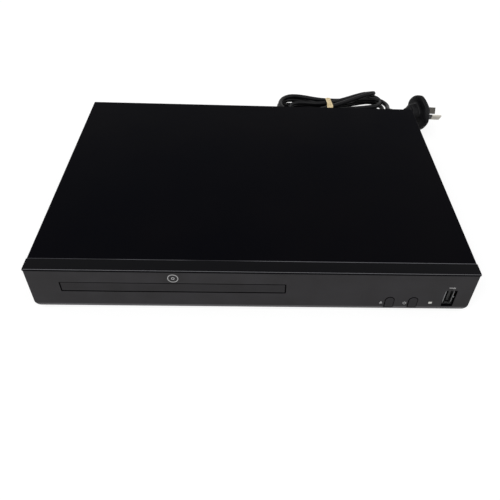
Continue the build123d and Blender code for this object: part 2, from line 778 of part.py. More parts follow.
with BuildPart() as drive_gear:
    with BuildSketch(Plane(origin=(wheel_x, gear_y, wheel_low))):
        gear_face(wheel_teeth, gear_module)
    extrude(amount=wheel_high - wheel_low)
    with BuildSketch(Plane(origin=(wheel_x, gear_y, wheel_high))):
        gear_face(pinion_teeth, rack_module)
    extrude(amount=axle_top - wheel_high)
    rod((wheel_x, gear_y, wheel_low - 1), axle_radius + axle_play, 12, mode=Mode.SUBTRACT)
finish(drive_gear, "drive_gear")


def belt_face(slack):
    """Draw the band round both pulleys, at a distance from their grooves."""
    for x, groove in ((motor_x, motor_groove), (pulley_x, pulley_groove)):
        with Locations((x, gear_y)):
            Circle(groove + slack)


with BuildPart() as drive_belt:
    with BuildSketch(Plane.XY.offset(belt_low)) as outer_band:
        belt_face(axle_play + belt_thick)
        make_hull()
    extrude(amount=belt_thick)
    with BuildSketch(Plane.XY.offset(belt_low)) as inner_band:
        belt_face(axle_play)
        make_hull()
    extrude(amount=belt_thick, mode=Mode.SUBTRACT)
finish(drive_belt, "drive_belt")

# Clamp: a bridge over the tray and the puck that hangs in it
bridge_thick = 1.2
puck_radius = 13.0
with BuildPart() as clamp_bridge:
    low = (left - frame_wall, disc_y - 18, wall_top)
    block(low, (right + frame_wall, disc_y + 18, wall_top + bridge_thick))
    rod((loader_x, disc_y, wall_top - 1), puck_radius + 1, 4, mode=Mode.SUBTRACT)
finish(clamp_bridge, "clamp_bridge")

with BuildPart() as clamp_puck:
    rod((loader_x, disc_y, tray_top + 0.5), puck_radius, wall_top + bridge_thick + 0.3 - tray_top - 0.5)
    rod((loader_x, disc_y, wall_top + bridge_thick + 0.3), puck_radius + 3.5, 1.5)
    rod((loader_x, disc_y, tray_top), 8, 2.2, mode=Mode.SUBTRACT)
finish(clamp_puck, "clamp_puck")

# Traverse deck: hinged at the rear, lowered at the front by the cam slider
spindle_radius = 13.0
spindle_top = 19.2
turntable_radius = 15.0
turntable_top = disc_seat + 1.3
cone_top = turntable_top + 1.1
holder_y = (pickup_front - 3.3, pickup_rear + pickup_travel + 4.0)
holder_thick = 2.8
sled_x = loader_x + 28.4
sled_y = disc_y + 53.0
sled_pitch = sled_module * sled_teeth / 2
sled_pinion_y = sled_y + sled_module * (sled_teeth + pinion_teeth) / 2
sled_low = deck_top + 0.3
sled_high = 18.0
sled_rack_line = sled_x - sled_pitch
can_radius = 6.5

with BuildPart() as traverse_deck:
    block((loader_x - deck_half, deck_front, deck_low), (loader_x + deck_half, deck_rear, deck_top))
    block((loader_x - 20, disc_y + 17, deck_low - 1), (loader_x + 20, disc_y + 74, deck_top + 1), Mode.SUBTRACT)
    for hand in (-1, 1):
        low, high = sorted((loader_x + hand * (deck_half - 5), loader_x + hand * (deck_half + 0.4)))
        block((low, hinge_y - 3, hinge_z - 2), (high, hinge_y + 3, hinge_z + 2))
        start = (loader_x + hand * deck_half, hinge_y, hinge_z)
        rod(start, hinge_radius, hinge_block + 0.8, direction=(hand, 0, 0))
        for y in holder_y:
            x = loader_x + hand * rod_x
            block((x - 2.6, y, deck_low), (x + 2.6, y + holder_thick, rod_z + 2.2))
            rod((x, y - 1, rod_z), rod_radius + 0.02, 6, direction=(0, 1, 0), mode=Mode.SUBTRACT)
        pin_x = loader_x + hand * 10
        pin_block = (pin_x - 2.4, deck_front - 0.8, hinge_z - 1.8)
        block(pin_block, (pin_x + 2.4, deck_front + 2, hinge_z + 1.8))
        rod((pin_x, deck_front, hinge_z), cam_pin_radius, deck_front - rim_rear - 0.4, (0, -1, 0))
    rod((sled_x, sled_y, deck_top), 1.2, sled_high - deck_top)
    rod((sled_x, sled_pinion_y, deck_low - 1), 1.6, 4, mode=Mode.SUBTRACT)
finish(traverse_deck, "traverse_deck")

slider_clear = 0.25
with BuildPart() as cam_slider:
    low = (loader_x - 33, rim_rear + 0.3, pan_top + 1)
    block(low, (loader_x + 27, rim_rear + 0.3 + slider_thick, 16.9))
    with BuildSketch(UPRIGHT.offset(-(rim_rear + 0.3))):
        for hand in (-1, 1):
            with Locations((loader_x + hand * 10 - cam_travel / 2, hinge_z - cam_travel / 2)):
                SlotCenterToCenter(cam_travel * sqrt(2) + 0.4, 2 * (cam_pin_radius + slider_clear), rotation=45)
            with Locations((loader_x + hand * stud_x - cam_travel / 2, stud_z)):
                SlotCenterToCenter(cam_travel + 0.4, 2 * (1.5 + slider_clear))
    extrude(amount=-slider_thick, mode=Mode.SUBTRACT)
finish(cam_slider, "cam_slider")

with BuildPart() as spindle_motor:
    rod((loader_x, disc_y, deck_top), spindle_radius, spindle_top - deck_top)
    chamfer(spindle_motor.faces().sort_by(Axis.Z)[-1].edges(), 0.6)
    rod((loader_x, disc_y, deck_top), 1 + axle_play, 9, mode=Mode.SUBTRACT)
finish(spindle_motor, "spindle_motor")

with BuildPart() as turntable:
    rod((loader_x, disc_y, spindle_top + 0.4), turntable_radius, turntable_top - spindle_top - 0.4)
    with Locations((loader_x, disc_y, turntable_top)):
        Cone(7.4, 5.8, cone_top - turntable_top, align=(Align.CENTER, Align.CENTER, Align.MIN))
    rod((loader_x, disc_y, deck_top + 0.5), 1, spindle_top - deck_top)
finish(turntable, "turntable")

# Pickup: rides on both rods and carries its own rack
with BuildPart() as pickup:
    low = (loader_x - rod_x - 3, pickup_front, deck_top + 0.4)
    block(low, (loader_x + rod_x + 3, pickup_rear, 19.6))
    block((loader_x - 9, pickup_front + 3, 10.5), (loader_x + 9, pickup_rear - 2, deck_top + 1))
    for hand in (-1, 1):
        start = (loader_x + hand * rod_x, pickup_front - 1, rod_z)
        rod(start, rod_radius + axle_play, pickup_rear - pickup_front + 2, direction=(0, 1, 0), mode=Mode.SUBTRACT)
    rod((loader_x, disc_y + 24, 19.6), 5.2, 0.9)
    with BuildSketch(Plane(origin=(sled_rack_line, 0, sled_low))):
        rack_face(sled_module, pickup_front, pickup_rear + 20.5, sled_y, 1, 1.8)
    extrude(amount=sled_high - sled_low)
    low = (loader_x + rod_x + 2, pickup_front, sled_low)
    block(low, (sled_rack_line - sled_module, pickup_rear, sled_high))
finish(pickup, "pickup")

with BuildPart() as pickup_lens:
    rod((loader_x, disc_y + 24, 20.5), 3.4, 0.5)
    with Locations((loader_x, disc_y + 24, 21.0)):
        Cone(3.0, 1.6, 0.8, align=(Align.CENTER, Align.CENTER, Align.MIN))
finish(pickup_lens, "pickup_lens")

with BuildPart() as guide_rods:
    for hand in (-1, 1):
        start = (loader_x + hand * rod_x, holder_y[0], rod_z)
        rod(start, rod_radius, holder_y[1] + holder_thick - holder_y[0], direction=(0, 1, 0))
finish(guide_rods, "guide_rods")

with BuildPart() as sled_motor:
    rod((sled_x, sled_pinion_y, deck_low - 6.6), can_radius, 6.6)
    rod((sled_x, sled_pinion_y, deck_low - 3), 0.75 + axle_play, 4, mode=Mode.SUBTRACT)
finish(sled_motor, "sled_motor")

with BuildPart() as sled_pinion:
    with BuildSketch(Plane(origin=(sled_x, sled_pinion_y, sled_low))):
        gear_face(pinion_teeth, sled_module, turn=pi / pinion_teeth)
    extrude(amount=sled_high - sled_low)
    rod((sled_x, sled_pinion_y, deck_low - 2.6), 0.75, sled_low - deck_low + 2.6)
finish(sled_pinion, "sled_pinion")

with BuildPart() as sled_gear:
    with BuildSketch(Plane(origin=(sled_x, sled_y, sled_low))):
        gear_face(sled_teeth, sled_module)
    extrude(amount=sled_high - sled_low)
    rod((sled_x, sled_y, sled_low - 1), 1.2 + axle_play, 5, mode=Mode.SUBTRACT)
finish(sled_gear, "sled_gear")

# Main board with its chips, capacitors and rear sockets
with BuildPart() as main_board:
    block((*main_low, board_z), (*main_high, board_top))
    block((main_low[0] - wing_reach, main_high[1] - wing_depth, board_z), (main_low[0], main_high[1], board_top))
    for x, y in main_posts:
        rod((x, y, board_z - 1), screw_radius + axle_play, 4, mode=Mode.SUBTRACT)
finish(main_board, "main_board")

chips = [
    (22, 20, 20, 20, 1.6), (48, 22, 8, 18, 1.2), (60, 22, 8, 18, 1.2), (12, 24, 6, 8, 1.4), (16, 48, 12, 8, 1.4),
]
capacitors = [(12, 12), (20, 12), (48, 52), (56, 52), (38, 52), (66, 14)]
with BuildPart() as board_chips:
    for x, y, wide, deep, high in chips:
        low = (main_low[0] + x, main_low[1] + y, board_top)
        block(low, (low[0] + wide, low[1] + deep, board_top + high))
finish(board_chips, "board_chips")

with BuildPart() as board_capacitors:
    for x, y in capacitors:
        rod((main_low[0] + x, main_low[1] + y, board_top), 2.5, 7)
    fillet(board_capacitors.faces().sort_by(Axis.Z)[-len(capacitors):].edges(), 0.5)
finish(board_capacitors, "board_capacitors")

block_depth = 12.0
barrel_root = 3.9
barrel_buried = 11.2
socket_bore = 9.2
insulator_radius = 3.3
contact_bore = 1.7
with BuildPart() as jack_block:
    low = (jack_places[0] - jack_pitch / 2, wall_rear - block_depth, board_top)
    block(low, (jack_places[-1] + jack_pitch / 2, wall_rear, jack_z + 6))
    for x in jack_places:
        start = (x, wall_rear, jack_z)
        rod(start, barrel_root + axle_play, socket_bore, direction=(0, -1, 0), mode=Mode.SUBTRACT)
        start = (x, wall_rear - socket_bore, jack_z)
        rod(start, insulator_radius, socket_bore + 6, direction=(0, 1, 0))
        rod((x, wall_rear - 4, jack_z), contact_bore, 12, direction=(0, 1, 0), mode=Mode.SUBTRACT)
finish(jack_block, "jack_block")

with BuildPart() as jack_barrels:
    for x in jack_places:
        start = (x, pan_rear + collar_thick, jack_z)
        rod(start, jack_radius, rear + jack_reach - start[1], direction=(0, 1, 0))
        rod(start, barrel_root, barrel_buried, direction=(0, -1, 0))
        rod((x, wall_rear - 10, jack_z), insulator_radius + axle_play, 30, direction=(0, 1, 0), mode=Mode.SUBTRACT)
finish(jack_barrels, "jack_barrels")

with BuildPart() as jack_collars:
    for x in jack_places:
        rod((x, pan_rear, jack_z), collar_radius, collar_thick, direction=(0, 1, 0))
        start = (x, pan_rear - 1, jack_z)
        rod(start, jack_radius + axle_play, 5, direction=(0, 1, 0), mode=Mode.SUBTRACT)
finish(jack_collars, "jack_collars")

with BuildPart() as hdmi_socket:
    low = (hdmi_x - hdmi_width / 2, wall_rear - 11, board_top)
    high = (hdmi_x + hdmi_width / 2, pan_rear + 0.5, board_top + hdmi_height)
    block(low, high)
    room = (low[0] + 0.4, low[1] + 3, low[2] + 0.4)
    block(room, (high[0] - 0.4, high[1] + 1, high[2] - 0.4), mode=Mode.SUBTRACT)
    tongue = (hdmi_x - 5.6, low[1] + 2, board_top + 2.2)
    block(tongue, (hdmi_x + 5.6, high[1] - 2, board_top + 3.3))
finish(hdmi_socket, "hdmi_socket")

# Power board: transformer, bulk capacitor, heat sink, fuse and the plug of the mains lead
with BuildPart() as power_board:
    block((*power_low, board_z), (*power_high, board_top))
    for x, y in power_posts:
        rod((x, y, board_z - 1), screw_radius + axle_play, 4, mode=Mode.SUBTRACT)
finish(power_board, "power_board")

# Screws inside: four in the loader's ears, nine in the boards and four in the front board
with BuildPart() as chassis_screws:
    for x, y in loader_ears:
        rod((x, y, ear_low - 4), screw_radius - 0.02, 4 + ear_thick)
        rod((x, y, ear_low + ear_thick), head_radius, 1.8)
    for x, y in main_posts + power_posts:
        rod((x, y, board_z - 4), screw_radius - 0.02, 4 + board_thick)
        rod((x, y, board_top), head_radius, 1.8)
    for x, z in front_posts:
        rod((x, front_board_y - 5, z), 1.0, 5 + board_thick, direction=(0, 1, 0))
        rod((x, front_board_y + board_thick, z), 2.2, 1.3, direction=(0, 1, 0))
finish(chassis_screws, "chassis_screws")

# Transformer, bulk capacitor, heat sink, transistor and fuse
core_low = (power_low[0] + 9, power_low[1] + 24)
core = (core_low, (core_low[0] + 22, core_low[1] + 22))
with BuildPart() as transformer_core:
    block((*core[0], board_top + 1), (*core[1], board_top + 18))
    low = (core[0][0] - 1, core[0][1] + 5, board_top + 5)
    block(low, (core[1][0] + 1, core[1][1] - 5, board_top + 14), mode=Mode.SUBTRACT)
    block((core[0][0] + 7, core[0][1] + 2, board_top + 2), (core[1][0] - 7, core[1][1] - 2, board_top + 17))
finish(transformer_core, "transformer_core")

with BuildPart() as transformer_winding:
    for low_x, high_x in ((core[0][0] - 1, core[0][0] + 6.9), (core[1][0] - 6.9, core[1][0] + 1)):
        block((low_x, core[0][1] + 5.1, board_top + 5.1), (high_x, core[1][1] - 5.1, board_top + 13.9))
    for x in (core[0][0], core[1][0] - 5):
        block((x, core[0][1] - 3, board_top), (x + 5, core[0][1], board_top + 6))
        block((x, core[1][1], board_top), (x + 5, core[1][1] + 3, board_top + 6))
finish(transformer_winding, "transformer_winding")

with BuildPart() as bulk_capacitor:
    rod((power_low[0] + 12, power_low[1] + 60, board_top), 6.5, 20)
    fillet(bulk_capacitor.faces().sort_by(Axis.Z)[-1].edges(), 0.8)
finish(bulk_capacitor, "bulk_capacitor")

sink_y = power_low[1] + 14
sink_thick = 1.5
with BuildPart() as heat_sink:
    low = (power_low[0] + 4, sink_y, board_top)
    block(low, (low[0] + 30, sink_y + sink_thick, board_top + 18))
    for index in range(6):
        x = low[0] + 1.5 + index * 5.3
        block((x, sink_y - 4, board_top + 4), (x + 1, sink_y, board_top + 18))
finish(heat_sink, "heat_sink")

with BuildPart() as power_transistor:
    low = (power_low[0] + 14, sink_y + sink_thick, board_top + 2)
    block(low, (low[0] + 10, low[1] + 4.5, board_top + 17))
finish(power_transistor, "power_transistor")

with BuildPart() as fuse:
    x = power_low[0] + 30
    y = power_low[1] + 54
    rod((x, y, board_top + 3.2), 2.6, 20, direction=(0, 1, 0))
    for low_y in (y, y + 16):
        block((x - 3, low_y, board_top), (x + 3, low_y + 4, board_top + 4.4))
finish(fuse, "fuse")

# Flat cable between the main board and the front board
cable_half = 6.0
cable_x = eject_x - 3.5
with BuildPart() as ribbon_cable:
    cable_y = front_board_y + board_thick
    with BuildSketch(ACROSS.offset(cable_x)):
        with BuildLine() as cable_line:
            FilletPolyline(
                (cable_y + 0.3, 26.0), (cable_y + 8, 26.0), (cable_y + 8, pan_top + 0.8),
                (main_low[1] - 10, pan_top + 0.8), (main_low[1] - 10, board_top + 4),
                (main_low[1] + 4, board_top + 4), radius=2.5,
            )
            offset(amount=0.25, side=Side.BOTH)
        make_face()
    extrude(amount=cable_half, both=True)
    low = (cable_x - cable_half - 1, main_low[1] + 2, board_top)
    block(low, (cable_x + cable_half + 1, main_low[1] + 7, board_top + 5))
finish(ribbon_cable, "ribbon_cable")

# Gland: a bush in the rear panel and a tapered boot behind it
cord_radius = cord_diameter / 2
boot_end = rear + boot_reach
with BuildPart() as cord_gland:
    with BuildSketch(ACROSS.offset(gland_x)):
        with BuildLine():
            Polyline(
                (wall_rear - 3, gland_z), (wall_rear - 3, gland_z + gland_half + 1),
                (wall_rear - 0.05, gland_z + gland_half + 1), (wall_rear - 0.05, gland_z + gland_half - 0.05),
                (pan_rear + 0.05, gland_z + gland_half - 0.05), (pan_rear + 0.05, gland_z + gland_half + 1),
                (pan_rear + 2, gland_z + gland_half + 1), (rear + 2, gland_z + cord_radius + 1.6),
                (boot_end, gland_z + cord_radius + 0.6), (boot_end, gland_z), (wall_rear - 3, gland_z),
            )
        make_face()
    revolve(axis=Axis((gland_x, 0, gland_z), (0, 1, 0)))
finish(cord_gland, "cord_gland")

# Mains lead: a free stretch from the boot to the hank
plug_way = Vector(
    cos(radians(plug_dip)) * cos(radians(plug_turn)), cos(radians(plug_dip)) * sin(radians(plug_turn)),
    -sin(radians(plug_dip)),
)
plug_level = Vector(-sin(radians(plug_turn)), cos(radians(plug_turn)), 0)


def plug_place(back):
    """A point on the plug's axis, a distance behind the middle of its face."""
    return Vector(*plug_face) - plug_way * back


start_place, start_way = hank_station(1)
end_place, end_way = hank_station(last_station)
lead_route = [
    (gland_x, boot_end, gland_z),
    (gland_x, 130.0, gland_z),
    (118.8, 136.8, 7.0),
    (106.5, 141.6, 2.8),
    tuple(start_place - start_way * 11.0),
    tuple(start_place),
]
tail_route = [
    tuple(end_place),
    tuple(end_place + end_way * 7.0),
    (133.0, 145.2, 18.3),
    (133.8, 137.2, 19.0),
    (138.0, 131.6, 20.6),
    tuple(plug_place(plug_neck + 7.0)),
    tuple(plug_place(plug_neck)),
]
free_length = {}
for name, route in (("mains_lead", lead_route), ("cord_tail", tail_route)):
    radii = corner_radii(route)
    print(name, "radii", [round(radius, 1) for radius in radii])
    with BuildPart() as free_cord:
        with BuildLine() as run:
            FilletPolyline(*route, radius=radii)
        with BuildSketch(Plane(origin=route[0], z_dir=run.wires()[0] % 0)):
            Circle(cord_radius)
        sweep()
    length = sum(edge.length for edge in run.edges())
    ratio = free_cord.part.volume / (length * pi * cord_radius ** 2)
    print(name, "length", round(length, 1), "volume ratio", round(ratio, 4))
    free_length[name] = length
    finish(free_cord, name)

# Hank: one unbroken tube, four layers of one and a half turns
stations = [hank_station(index) for index in range(1, last_station + 1)]
arcs = []
for (place, way), (next_place, next_way) in zip(stations, stations[1:]):
    arcs += biarc(place, way, next_place, next_way)
with BuildPart() as cord_hank:
    with BuildLine() as turns:
        for arc_start, arc_mid, arc_end in arcs:
            ThreePointArc(arc_start, arc_mid, arc_end)
    with BuildSketch(Plane(origin=start_place, z_dir=start_way)):
        Circle(cord_radius)
    sweep()
hank_length = sum(edge.length for edge in turns.edges())
expected = hank_length * pi * cord_radius ** 2
print("cord_hank length", round(hank_length, 1), "volume ratio", round(cord_hank.part.volume / expected, 4))
print("whole cord", round(hank_length + sum(free_length.values()), 1))
points = []
walked = 0.0
for edge in [Edge.make_three_point_arc(*arc) for arc in arcs]:
    steps = max(2, int(edge.length / 2))
    for step in range(steps):
        points.append((walked + edge.length * step / steps, edge @ (step / steps)))
    walked += edge.length
least = min(
    (one - other).length
    for place, (at, one) in enumerate(points)
    for along, other in points[place + 1:]
    if along - at > 4 * cord_diameter
)
print("cord_hank least gap to itself", round(least - cord_diameter, 2))
finish(cord_hank, "cord_hank")

# Band round the waist of the hank
band_wall = 0.8
band_width = 7.0
waist_half = hank_waist + cord_radius + 0.3
band_top = hank_low + 3 * layer_step + cord_radius + 0.3
band_low = hank_low - cord_radius - 0.2
with BuildPart() as cord_band:
    c = cos(radians(hank_turn))
    s = sin(radians(hank_turn))
    middle = (hank_middle[0], hank_middle[1], (band_top + band_low) / 2)
    with BuildSketch(Plane(origin=middle, x_dir=(-s, c, 0), z_dir=(c, s, 0))):
        high = band_top - band_low
        RectangleRounded(2 * waist_half + 2 * band_wall, high + 2 * band_wall, cord_radius + band_wall)
        RectangleRounded(2 * waist_half, high, cord_radius, mode=Mode.SUBTRACT)
    extrude(amount=band_width / 2, both=True)
finish(cord_band, "cord_band")

# Two-pin plug: a flange standing on its edge, a grip that tapers to the cord, and two blades
flange_thick = 5.0
grip_radius = 8.0
with BuildPart() as plug_body:
    with BuildSketch(Plane(origin=plug_face, x_dir=plug_level, z_dir=plug_way)):
        Ellipse(16.5, plug_high)
    extrude(amount=-flange_thick)
    chamfer(plug_body.faces().sort_by(Axis.X)[-1].edges(), 0.8)
    with BuildSketch(Plane(origin=plug_face, x_dir=plug_way * -1, z_dir=plug_level)):
        with BuildLine():
            Polyline(
                (flange_thick - 1, 0), (flange_thick - 1, grip_radius), (flange_thick + 5, grip_radius),
                (plug_neck - 5, cord_radius + 3), (plug_neck, cord_radius + 1), (plug_neck, 0), (flange_thick - 1, 0),
            )
        make_face()
    revolve(axis=Axis(plug_face, plug_way))
finish(plug_body, "plug_body")

blade_pitch = 13.7
blade_slant = 30.0
with BuildPart() as plug_pins:
    with BuildSketch(Plane(origin=plug_face, x_dir=plug_level, z_dir=plug_way)):
        for hand in (-1, 1):
            with Locations((hand * blade_pitch / 2, 0)):
                Rectangle(6.35, 1.6, rotation=90 - hand * blade_slant)
    extrude(amount=17)
    chamfer(plug_pins.faces().sort_by(Axis.X)[-2:].edges(), 0.3)
finish(plug_pins, "plug_pins")
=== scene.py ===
# %% [markdown]
# # A slim DVD player, step by step
#
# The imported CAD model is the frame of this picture. Everything here is in metres in its frame:
# X runs to the right, Y to the rear and Z up, and the feet stand on Z = 0.

# %% Load the frame
import json
import math

import bpy
import numpy as np
from mathutils import Matrix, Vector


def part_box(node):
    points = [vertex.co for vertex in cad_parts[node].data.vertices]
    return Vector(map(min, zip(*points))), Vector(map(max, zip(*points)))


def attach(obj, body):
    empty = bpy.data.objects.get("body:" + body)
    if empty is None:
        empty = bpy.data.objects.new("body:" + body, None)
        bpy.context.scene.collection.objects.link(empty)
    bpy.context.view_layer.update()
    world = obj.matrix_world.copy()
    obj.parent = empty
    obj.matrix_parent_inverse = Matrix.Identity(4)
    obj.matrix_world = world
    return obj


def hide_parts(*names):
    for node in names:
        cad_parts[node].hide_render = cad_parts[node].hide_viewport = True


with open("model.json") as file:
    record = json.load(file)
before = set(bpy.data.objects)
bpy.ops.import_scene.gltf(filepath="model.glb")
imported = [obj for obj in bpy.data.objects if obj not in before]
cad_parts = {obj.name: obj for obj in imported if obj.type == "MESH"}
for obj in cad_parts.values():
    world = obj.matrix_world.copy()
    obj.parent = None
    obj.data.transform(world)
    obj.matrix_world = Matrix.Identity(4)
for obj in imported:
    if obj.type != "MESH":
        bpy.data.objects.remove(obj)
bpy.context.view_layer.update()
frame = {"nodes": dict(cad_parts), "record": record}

scene = bpy.context.scene

# %% [markdown]
# ## Camera
#
# The photograph looks down on the player from the front, at 44 degrees. A camera is placed by its
# own three directions: right, up and back. The small shift stands for the crop of the picture.

# %% Camera
camera_place = (-0.0055, -0.3608, 0.2884)
yaw, pitch, roll = (math.radians(angle) for angle in (3.15, 43.84, -2.95))
ahead = np.array([math.sin(yaw) * math.cos(pitch), math.cos(yaw) * math.cos(pitch), -math.sin(pitch)])
level = np.array([math.cos(yaw), -math.sin(yaw), 0.0])
down = np.cross(ahead, level)
right = math.cos(roll) * level + math.sin(roll) * down
below = -math.sin(roll) * level + math.cos(roll) * down
turn = np.eye(4)
turn[:3, 0] = right
turn[:3, 1] = -below
turn[:3, 2] = -ahead
turn[:3, 3] = camera_place

camera = bpy.data.objects.new("camera", bpy.data.cameras.new("camera"))
scene.collection.objects.link(camera)
camera.matrix_world = Matrix(turn.tolist())
camera.data.lens = 38.94
camera.data.sensor_width = 36.0
camera.data.shift_x = -0.0374
camera.data.shift_y = 0.0136
camera.data.clip_start = 0.01
scene.camera = camera
print("camera at", camera_place)

# %% [markdown]
# ## Nodes and colours
#
# Colours are written as the sRGB hex values that a screen shows, and one function turns them into
# the linear light that Blender reckons with. A second function adds a shader node with its settings
# and links, and a third starts an empty material that measures its patterns in Object coordinates.

# %% Three helpers
def linear(code):
    """An sRGB hex colour as linear red, green, blue and alpha."""
    screen = np.array([int(code[i:i + 2], 16) for i in (1, 3, 5)]) / 255
    light = np.where(screen <= 0.04045, screen / 12.92, ((screen + 0.055) / 1.055) ** 2.4)
    return (*[float(value) for value in light], 1.0)


def add(tree, kind, inputs=None, **settings):
    """Add one node, give it its settings, and set or link its inputs by name or number."""
    node = tree.nodes.new(kind)
    for name, value in settings.items():
        setattr(node, name, value)
    for name, value in (inputs or {}).items():
        if isinstance(value, bpy.types.NodeSocket):
            tree.links.new(value, node.inputs[name])
        else:
            node.inputs[name].default_value = value
    return node


def new_material(name):
    """An empty node material: its tree, its shader and its Object coordinates."""
    material = bpy.data.materials.new(name)
    material.use_nodes = True
    tree = material.node_tree
    tree.nodes.clear()
    shader = add(tree, "ShaderNodeBsdfPrincipled")
    add(tree, "ShaderNodeOutputMaterial", {"Surface": shader.outputs[0]})
    place = add(tree, "ShaderNodeTexCoord").outputs["Object"]
    return material, tree, shader, place


print("white is", linear("#ffffff"))

# %% [markdown]
# ## Floor, background and light
#
# A pale studio floor. For the camera it shines by itself enough to be almost white, and the rest of
# its light comes from the lamps, so it keeps the soft shadow of the player. The world is white
# where the camera, a mirror or glass sees it, and dimmer where it lights the player.

# %% Floor and world
def studio_floor():
    """Pale matte floor: part of its light is its own, for the camera, and part is the lamps'."""
    material = bpy.data.materials.new("pale_floor")
    material.use_nodes = True
    tree = material.node_tree
    tree.nodes.clear()
    path = add(tree, "ShaderNodeLightPath")
    matte = add(tree, "ShaderNodeBsdfDiffuse", {"Color": linear("#8f8f8f")})
    glow = add(tree, "ShaderNodeEmission", {"Color": (1, 1, 1, 1), "Strength": 0.8})
    both = add(tree, "ShaderNodeAddShader", {0: matte.outputs[0], 1: glow.outputs[0]})
    white = add(tree, "ShaderNodeBsdfDiffuse", {"Color": linear("#e4e4e4")})
    seen = path.outputs["Is Camera Ray"]
    choice = add(tree, "ShaderNodeMixShader", {0: seen, 1: white.outputs[0], 2: both.outputs[0]})
    add(tree, "ShaderNodeOutputMaterial", {"Surface": choice.outputs[0]})
    return material


floor_half = 4.0
floor_mesh = bpy.data.meshes.new("floor")
floor_mesh.from_pydata(
    [(x * floor_half, y * floor_half, 0) for x, y in ((-1, -1), (1, -1), (1, 1), (-1, 1))],
    [], [(0, 1, 2, 3)],
)
floor = bpy.data.objects.new("floor", floor_mesh)
scene.collection.objects.link(floor)
floor.data.materials.append(studio_floor())

world = bpy.data.worlds.new("studio")
scene.world = world
world.use_nodes = True
sky = world.node_tree
sky.nodes.clear()
path = add(sky, "ShaderNodeLightPath")
seen = path.outputs["Is Camera Ray"]
for ray in ("Is Glossy Ray", "Is Transmission Ray"):
    seen = add(sky, "ShaderNodeMath", {0: seen, 1: path.outputs[ray]}, operation="MAXIMUM").outputs[0]
lighting = add(sky, "ShaderNodeBackground", {"Color": (1, 1, 1, 1), "Strength": 0.55})
showing = add(sky, "ShaderNodeBackground", {"Color": (1, 1, 1, 1), "Strength": 1.0})
mixed = add(sky, "ShaderNodeMixShader", {0: seen, 1: lighting.outputs[0], 2: showing.outputs[0]})
add(sky, "ShaderNodeOutputWorld", {"Surface": mixed.outputs[0]})
scene.view_settings.view_transform = "Standard"
print("floor", floor_half * 2, "m wide")

# %% Lamps
def soft_lamp(name, place, aim, size, watts):
    """A square area lamp at a place, turned to a point."""
    lamp = bpy.data.objects.new(name, bpy.data.lights.new(name, "AREA"))
    scene.collection.objects.link(lamp)
    back = np.array(place, float) - np.array(aim, float)
    back /= np.linalg.norm(back)
    side = np.cross([0, 0, 1], back)
    side /= np.linalg.norm(side)
    pose = np.eye(4)
    pose[:3, :3] = np.stack([side, np.cross(back, side), back], axis=1)
    pose[:3, 3] = place
    lamp.matrix_world = Matrix(pose.tolist())
    lamp.data.shape = "SQUARE"
    lamp.data.size = size
    lamp.data.energy = watts


soft_lamp("key_lamp", (-0.9, -1.2, 1.5), (0, 0, 0), 1.0, 15)
soft_lamp("fill_lamp", (1.4, -0.7, 1.2), (0, 0, 0), 1.0, 8)
soft_lamp("side_lamp", (-1.6, 0.6, 1.5), (0, 0.1, 0), 1.0, 5)
print("three soft lamps")

# %% [markdown]
# ## Moulded plastic
#
# Acrylonitrile butadiene styrene, ABS, takes the texture of its steel mould: a fine eroded grain that
# scatters light. Two noises do it: a wide faint one for the tone, and a fine one for the bump. The
# real grain is about a tenth of a millimetre, too fine for this picture, so it is drawn coarser.

# %% Moulded plastic
millimetre = 0.001


def fineness(size):
    """A pattern's Scale for features of this size in millimetres."""
    return 1 / (size * millimetre)


def moulded_plastic(name, dark, pale, roughness, grain=0.7, depth=0.02, spread=14, gloss=0.5):
    """Plastic with the grain of its mould: grain and spread are the two noises' sizes in mm."""
    material, tree, shader, place = new_material(name)
    wide = add(tree, "ShaderNodeTexNoise", {"Vector": place, "Scale": fineness(spread), "Detail": 3.0})
    tone = add(tree, "ShaderNodeValToRGB", {0: wide.outputs[0]})
    tone.color_ramp.elements[0].position = 0.3
    tone.color_ramp.elements[1].position = 0.7
    tone.color_ramp.elements[0].color = linear(dark)
    tone.color_ramp.elements[1].color = linear(pale)
    fine = add(tree, "ShaderNodeTexNoise", {"Vector": place, "Scale": fineness(grain), "Detail": 2.0})
    bump = add(
        tree, "ShaderNodeBump",
        {"Height": fine.outputs[0], "Strength": 0.6, "Distance": depth * millimetre},
    )
    tree.links.new(tone.outputs[0], shader.inputs["Base Color"])
    tree.links.new(bump.outputs[0], shader.inputs["Normal"])
    shader.inputs["Roughness"].default_value = roughness
    shader.inputs["IOR"].default_value = 1.53
    shader.inputs["Specular IOR Level"].default_value = gloss
    return material


finishes = {
    "tray_plastic": moulded_plastic("moulded_abs_tray", "#232324", "#29292a", 0.45),
    "loader_plastic": moulded_plastic("moulded_abs_loader", "#2e2e31", "#343437", 0.5),
    "gear_plastic": moulded_plastic("moulded_acetal", "#dcd9cc", "#e6e3d8", 0.35, depth=0.01),
    "socket_plastic": moulded_plastic("moulded_polyester_socket", "#161616", "#1b1b1b", 0.4),
    "chip_plastic": moulded_plastic("moulded_epoxy", "#17181a", "#1d1e20", 0.55, grain=0.3),
    "lens_plastic": moulded_plastic("clear_acrylic_light_pipe", "#c9c8c2", "#d8d7d2", 0.15, depth=0.0),
    "plug_plastic": moulded_plastic("moulded_pvc_plug", "#09090b", "#101012", 0.42, depth=0.03, gloss=0.1),
    "ribbon_plastic": moulded_plastic("polyester_flat_cable", "#cfcfca", "#dadad6", 0.4, depth=0.0),
    "winding_tape": moulded_plastic("polyester_winding_tape", "#c99a22", "#d9ab34", 0.25, spread=6),
    "ferrite": moulded_plastic("sintered_ferrite", "#242427", "#313135", 0.6, grain=0.5, depth=0.05),
}
print(len(finishes), "plastics")

